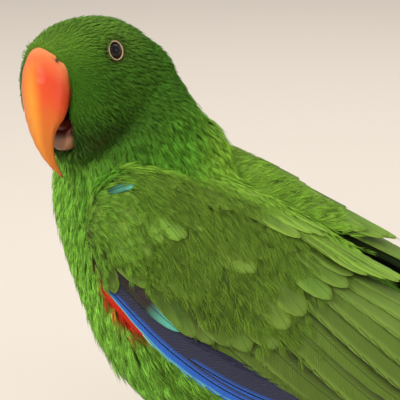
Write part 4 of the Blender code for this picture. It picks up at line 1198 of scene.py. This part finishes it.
        # Painted shade: coverts whose tips reach towards the lower edge of the wing take a darker green, for the shade
        # low on the wing.
        green, low = ramp(-rows[:, 0], -16, 8)[:, None], ramp(-rows[:, 3], -0.5, -0.2)[:, None]
        tone = draw.uniform(0.8, 1.2, (len(rows), 1)) * (1 + draw.normal(0, 0.05, (len(rows), 3)))
        piece = lay(f"{part}_{name}", shapes, rows, on_wing, ((OLIVE + (SHOULDER - OLIVE) * green) * (1 - low) + LOW_WING_SHADE * low) * tone, side)
        piece.data.materials.append(covert_finish)

    loose = (1, 0.01, 1, 0.01, 0.2, 0.2, 0.2, 0.005)
    scapulars = np.concatenate(
        [
            tier(((44, 1.28, 72, 1.22, -0.8, -2.2, 3.4, 0.0), (44, 1.12, 90, 1.02, -0.8, -3.0, 4.6, 0.0), (34, 1.02, 76, 0.88, -0.4, -1.6, 4.6, 0.0)), 10, loose, draw),
            tier(((30, 1.32, 58, 1.30, -0.8, -2.4, 3.3, 0.0), (26, 1.18, 66, 1.12, -0.8, -3.4, 4.2, 0.0), (20, 0.98, 54, 0.84, -0.2, -1.6, 4.4, 0.0)), 11, loose, draw),
            tier(((16, 1.33, 46, 1.32, -0.8, -2.4, 3.2, 0.0), (12, 1.22, 44, 1.18, -0.8, -3.4, 4.0, 0.0), (8, 0.96, 34, 0.84, 0.0, -1.4, 4.0, 0.0)), 11, loose, draw),
            tier(((0, 1.33, 26, 1.33, -0.8, -2.4, 3.0, 0.0), (0, 1.25, 24, 1.22, -0.8, -3.0, 3.8, 0.0), (-2, 0.98, 16, 0.88, 0.2, -1.0, 3.6, 0.0)), 11, loose, draw),
        ]
    )
    if side > 0:
        scapulars[:, 4:6] += 2.7
    # Painted shade: the far wing's scapulars are tinted 0.9 as dark as the near wing's.
    piece = lay("scapulars_" + name, large_vanes, scapulars, on_wing, SCAPULAR * draw.uniform(0.7, 1.25, (len(scapulars), 1)) * (1 if side < 0 else 0.9), side)
    piece.data.materials.append(scapular_finish)

    ground, x, q = wing_ground("shoulder_ground", (-14, 50), 44, ((0.98, 0.1), (1.05, 1.2), (1.12, 2.3)), ((0, 0), (50, 0)), side)
    near_neck = np.maximum(ramp(-x, -18, 0) * np.maximum(ramp(q, 0.27, 0.36), ramp(-x, 4, 7)), ramp(q, 0.98, 1.14) * ramp(-x, -36, -20))
    by_neck = mixed(np.tile(NECK, (len(x), 1)), MANTLE, ramp(x, 8, 24))
    greens = mixed(np.tile(OLIVE, (len(x), 1)), SHOULDER, ramp(-x, -16, 8))
    give(ground, "region", near_neck * ramp(-x, -46, -40))
    give(ground, "length", (4.2 + 2 * near_neck) * MM)
    give(ground, "marking", mixed(greens, by_neck, near_neck * ramp(q, 0.85, 1.1)) * 1.05, "FLOAT_COLOR")
    soft = grow("plumage_shoulder_" + name, ground, Feathers=body_plumes, Region="region", Spacing=1.4 * MM, Width=1.0, Lift=0.14, Disorder=0.3, Seed=50 + side, Finish=plume_finish)
    over = [(at, max(0.1, rise - (2.7 if side > 0 else 0))) for at, rise in OVER_SCAPULARS]
    ground, x, q = wing_ground("covert_ground", (-10, 84), 64, over, ((36, 0), (58, 1.3), (70, 2)), side)
    upper = ramp(q, 0.9, 1.05)
    greens = mixed(np.tile(OLIVE, (len(x), 1)), SHOULDER, ramp(-x, -16, 8))
    give(ground, "region", ramp(x, -8, 2) * ramp(-x - 12 * (1 - upper), -78, -58) * ramp(q, 0.24, 0.34))
    give(ground, "length", (6.5 + upper) * MM)
    give(ground, "marking", mixed(greens, MANTLE * 0.92, upper) * 1.13, "FLOAT_COLOR")
    hairs = grow("plumage_coverts_" + name, ground, Feathers=hair_plumes, Region="region", Spacing=1.75 * MM, Width=1.0, Lift=0.02, Disorder=0.3, Seed=60 + side, Finish=plume_finish)
    for piece in (soft, hairs):
        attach(piece, "root")

# The tail: six pairs of broad, blunt feathers, the middle pair on top and each next pair lower and
# further out. They are green above with dark inner webs and pale yellow tips, and nearly black below.
TAIL_ROOT, TAIL_TIP, TAIL_PAIRS = (138, 46.5), (244, 13), 6


def on_tail(numbers, v, a, h):
    """Feather points of the tail. numbers: pair from the middle out, side, and the half width in the seventh place."""
    pair, side, half = (numbers[:, k][:, None] for k in (0, 1, 6))
    x = TAIL_ROOT[0] + (TAIL_TIP[0] - 1.2 * pair - TAIL_ROOT[0]) * v
    fall = (x - TAIL_ROOT[0]) / (TAIL_TIP[0] - TAIL_ROOT[0])
    across = 5.2 * (0.45 + 0.55 * v) + (1.6 + 1.6 * v) * pair - a * half * (0.62 + 0.38 * v)
    z = TAIL_ROOT[1] + (TAIL_TIP[1] - TAIL_ROOT[1]) * (fall + 0.12 * np.sin(np.pi * np.clip(fall, 0, 1)))
    drop = 0.9 * pair + 0.25 * (side > 0) + 0.05 * across
    return np.stack([x, side * across, z - drop + h], axis=-1)


tail_numbers = [(pair, side, 0, 0, 0, 0, 7.6, 0) for pair in range(TAIL_PAIRS) for side in (-1, 1)]
draw = np.random.default_rng(61)
tail_tints = linear(78, 116, 42) * draw.uniform(0.85, 1.15, (len(tail_numbers), 1))
tail_vanes = [vane(20, 7, 1, 1, 0.13, 26, 110 + k, 0.4, 0.5) for k in range(2)]
yellow, dark_shaft, below = linear(214, 200, 112), linear(34, 40, 20), (0.22, 0.2, 0.22)
tail = lay("tail_feathers", tail_vanes, tail_numbers[2:], on_tail, tail_tints[2:], -1, strips=True)
tail.data.materials.append(vane_finish("tail_vane", 0.8, 0.2, yellow, 0.0, 0.9, dark_shaft, linear(26, 40, 52), below))
middle = lay("tail_middle", tail_vanes, tail_numbers[:2], on_tail, tail_tints[:2], -1, strips=True)
middle.data.materials.append(vane_finish("tail_middle_vane", 0.8, 0.2, yellow, 0.0, 0.9, dark_shaft, None, below))
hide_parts("tail")

# Feet: two toes forward and two back, bare and covered with small grey scales in rows, on short
# shanks, and eight curved, glossy, nearly black claws.
foot_finish, tree, shader = finish("scaled_skin", 0.55, 0.4)
scales = tree.nodes.new("ShaderNodeTexVoronoi")
scales.feature = "DISTANCE_TO_EDGE"
scales.inputs["Scale"].default_value = 620
seams = sum_of(tree, "MULTIPLY", scales.outputs["Distance"], 7.0, True)
plated = blend(tree, "MIX", seams, linear(62, 58, 54), blend(tree, "MIX", noise(tree, 420, 3.0), linear(116, 110, 104), linear(158, 150, 140)))
tree.links.new(plated, shader.inputs["Base Color"])
bump = tree.nodes.new("ShaderNodeBump")
bump.inputs["Strength"].default_value, bump.inputs["Distance"].default_value = 0.8, 0.0005
tree.links.new(seams, bump.inputs["Height"])
tree.links.new(bump.outputs[0], shader.inputs["Normal"])
claw_finish, tree, shader = finish("claw_horn", 0.22, 0.6)
tree.links.new(blend(tree, "MIX", noise(tree, 600, 3.0), linear(26, 23, 22), linear(60, 54, 50)), shader.inputs["Base Color"])

for name in ("left", "right"):
    claws = [f"claw_{name}_{place}" for place in ("front_outer", "front_inner", "back_outer", "back_inner")]
    for label, nodes, fineness, given, slot in (
        ("foot_scaled_" + name, ["shank_" + name, "foot_" + name], 0.0006, foot_finish, "foot_grey"),
        ("claws_" + name, claws, 0.00035, claw_finish, "claw"),
    ):
        piece = melt(cad_copy(label, *nodes), fineness, 3)
        points = corners_of(piece.data)
        lowest = points[:, 2].min() + STANDS[2] / MM
        move_corners(piece.data, points - (0, 0, max(lowest, 0)))
        piece.data.materials.clear()
        piece.data.materials.append(given)
        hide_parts(*nodes)
        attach(piece, "root")

# Plain pale floor, soft light from the left and front, and the camera.
floor = linked("floor", bpy.data.meshes.new("floor"))
floor.data.from_pydata([(-3, -3, 0), (3, -3, 0), (3, 3, 0), (-3, 3, 0)], [], [(0, 1, 2, 3)])
floor_finish, tree, shader = finish("pale_floor", 0.8, 0.2)
shader.inputs["Base Color"].default_value = (*linear(226, 216, 204), 1)
floor.data.materials.append(floor_finish)

world = bpy.data.worlds.new("room")
world.use_nodes = True
world.node_tree.nodes["Background"].inputs[0].default_value = (1, 0.97, 0.93, 1)
world.node_tree.nodes["Background"].inputs[1].default_value = 0.6
bpy.context.scene.world = world
bpy.context.scene.view_settings.view_transform = "Standard"
for name, at, size, power in (
    ("key_light", (-0.5, -0.75, 0.75), 0.5, 9),
    ("fill_light", (0.8, -0.6, 0.6), 0.7, 3),
    ("top_light", (0.1, 0.5, 1.0), 0.8, 4),
):
    lamp = bpy.data.lights.new(name, "AREA")
    lamp.size, lamp.energy = size, power
    lamp_object = bpy.data.objects.new(name, lamp)
    lamp_object.location = at
    lamp_object.rotation_euler = (Vector((0, 0, 0.12)) - Vector(at)).to_track_quat("-Z", "Y").to_euler()
    bpy.context.scene.collection.objects.link(lamp_object)

CAMERA_AZIMUTH, CAMERA_HEIGHT, CAMERA_DISTANCE, CAMERA_FIELD = 2, 20, 0.37, 20.5
CAMERA_AIM = (22, -10, 117)
camera = bpy.data.objects.new("camera", bpy.data.cameras.new("camera"))
bpy.context.scene.collection.objects.link(camera)
around, above = math.radians(CAMERA_AZIMUTH), math.radians(CAMERA_HEIGHT)
back = Vector((math.sin(around) * math.cos(above), -math.cos(around) * math.cos(above), math.sin(above)))
camera.location = Vector(np.array(CAMERA_AIM) * MM + STANDS) + back * CAMERA_DISTANCE
camera.rotation_euler = (back * -1).to_track_quat("-Z", "Y").to_euler()
camera.data.sensor_width = 36
camera.data.lens = 18 / math.tan(math.radians(CAMERA_FIELD) / 2)
camera.data.clip_start = 0.01
bpy.context.scene.camera = camera
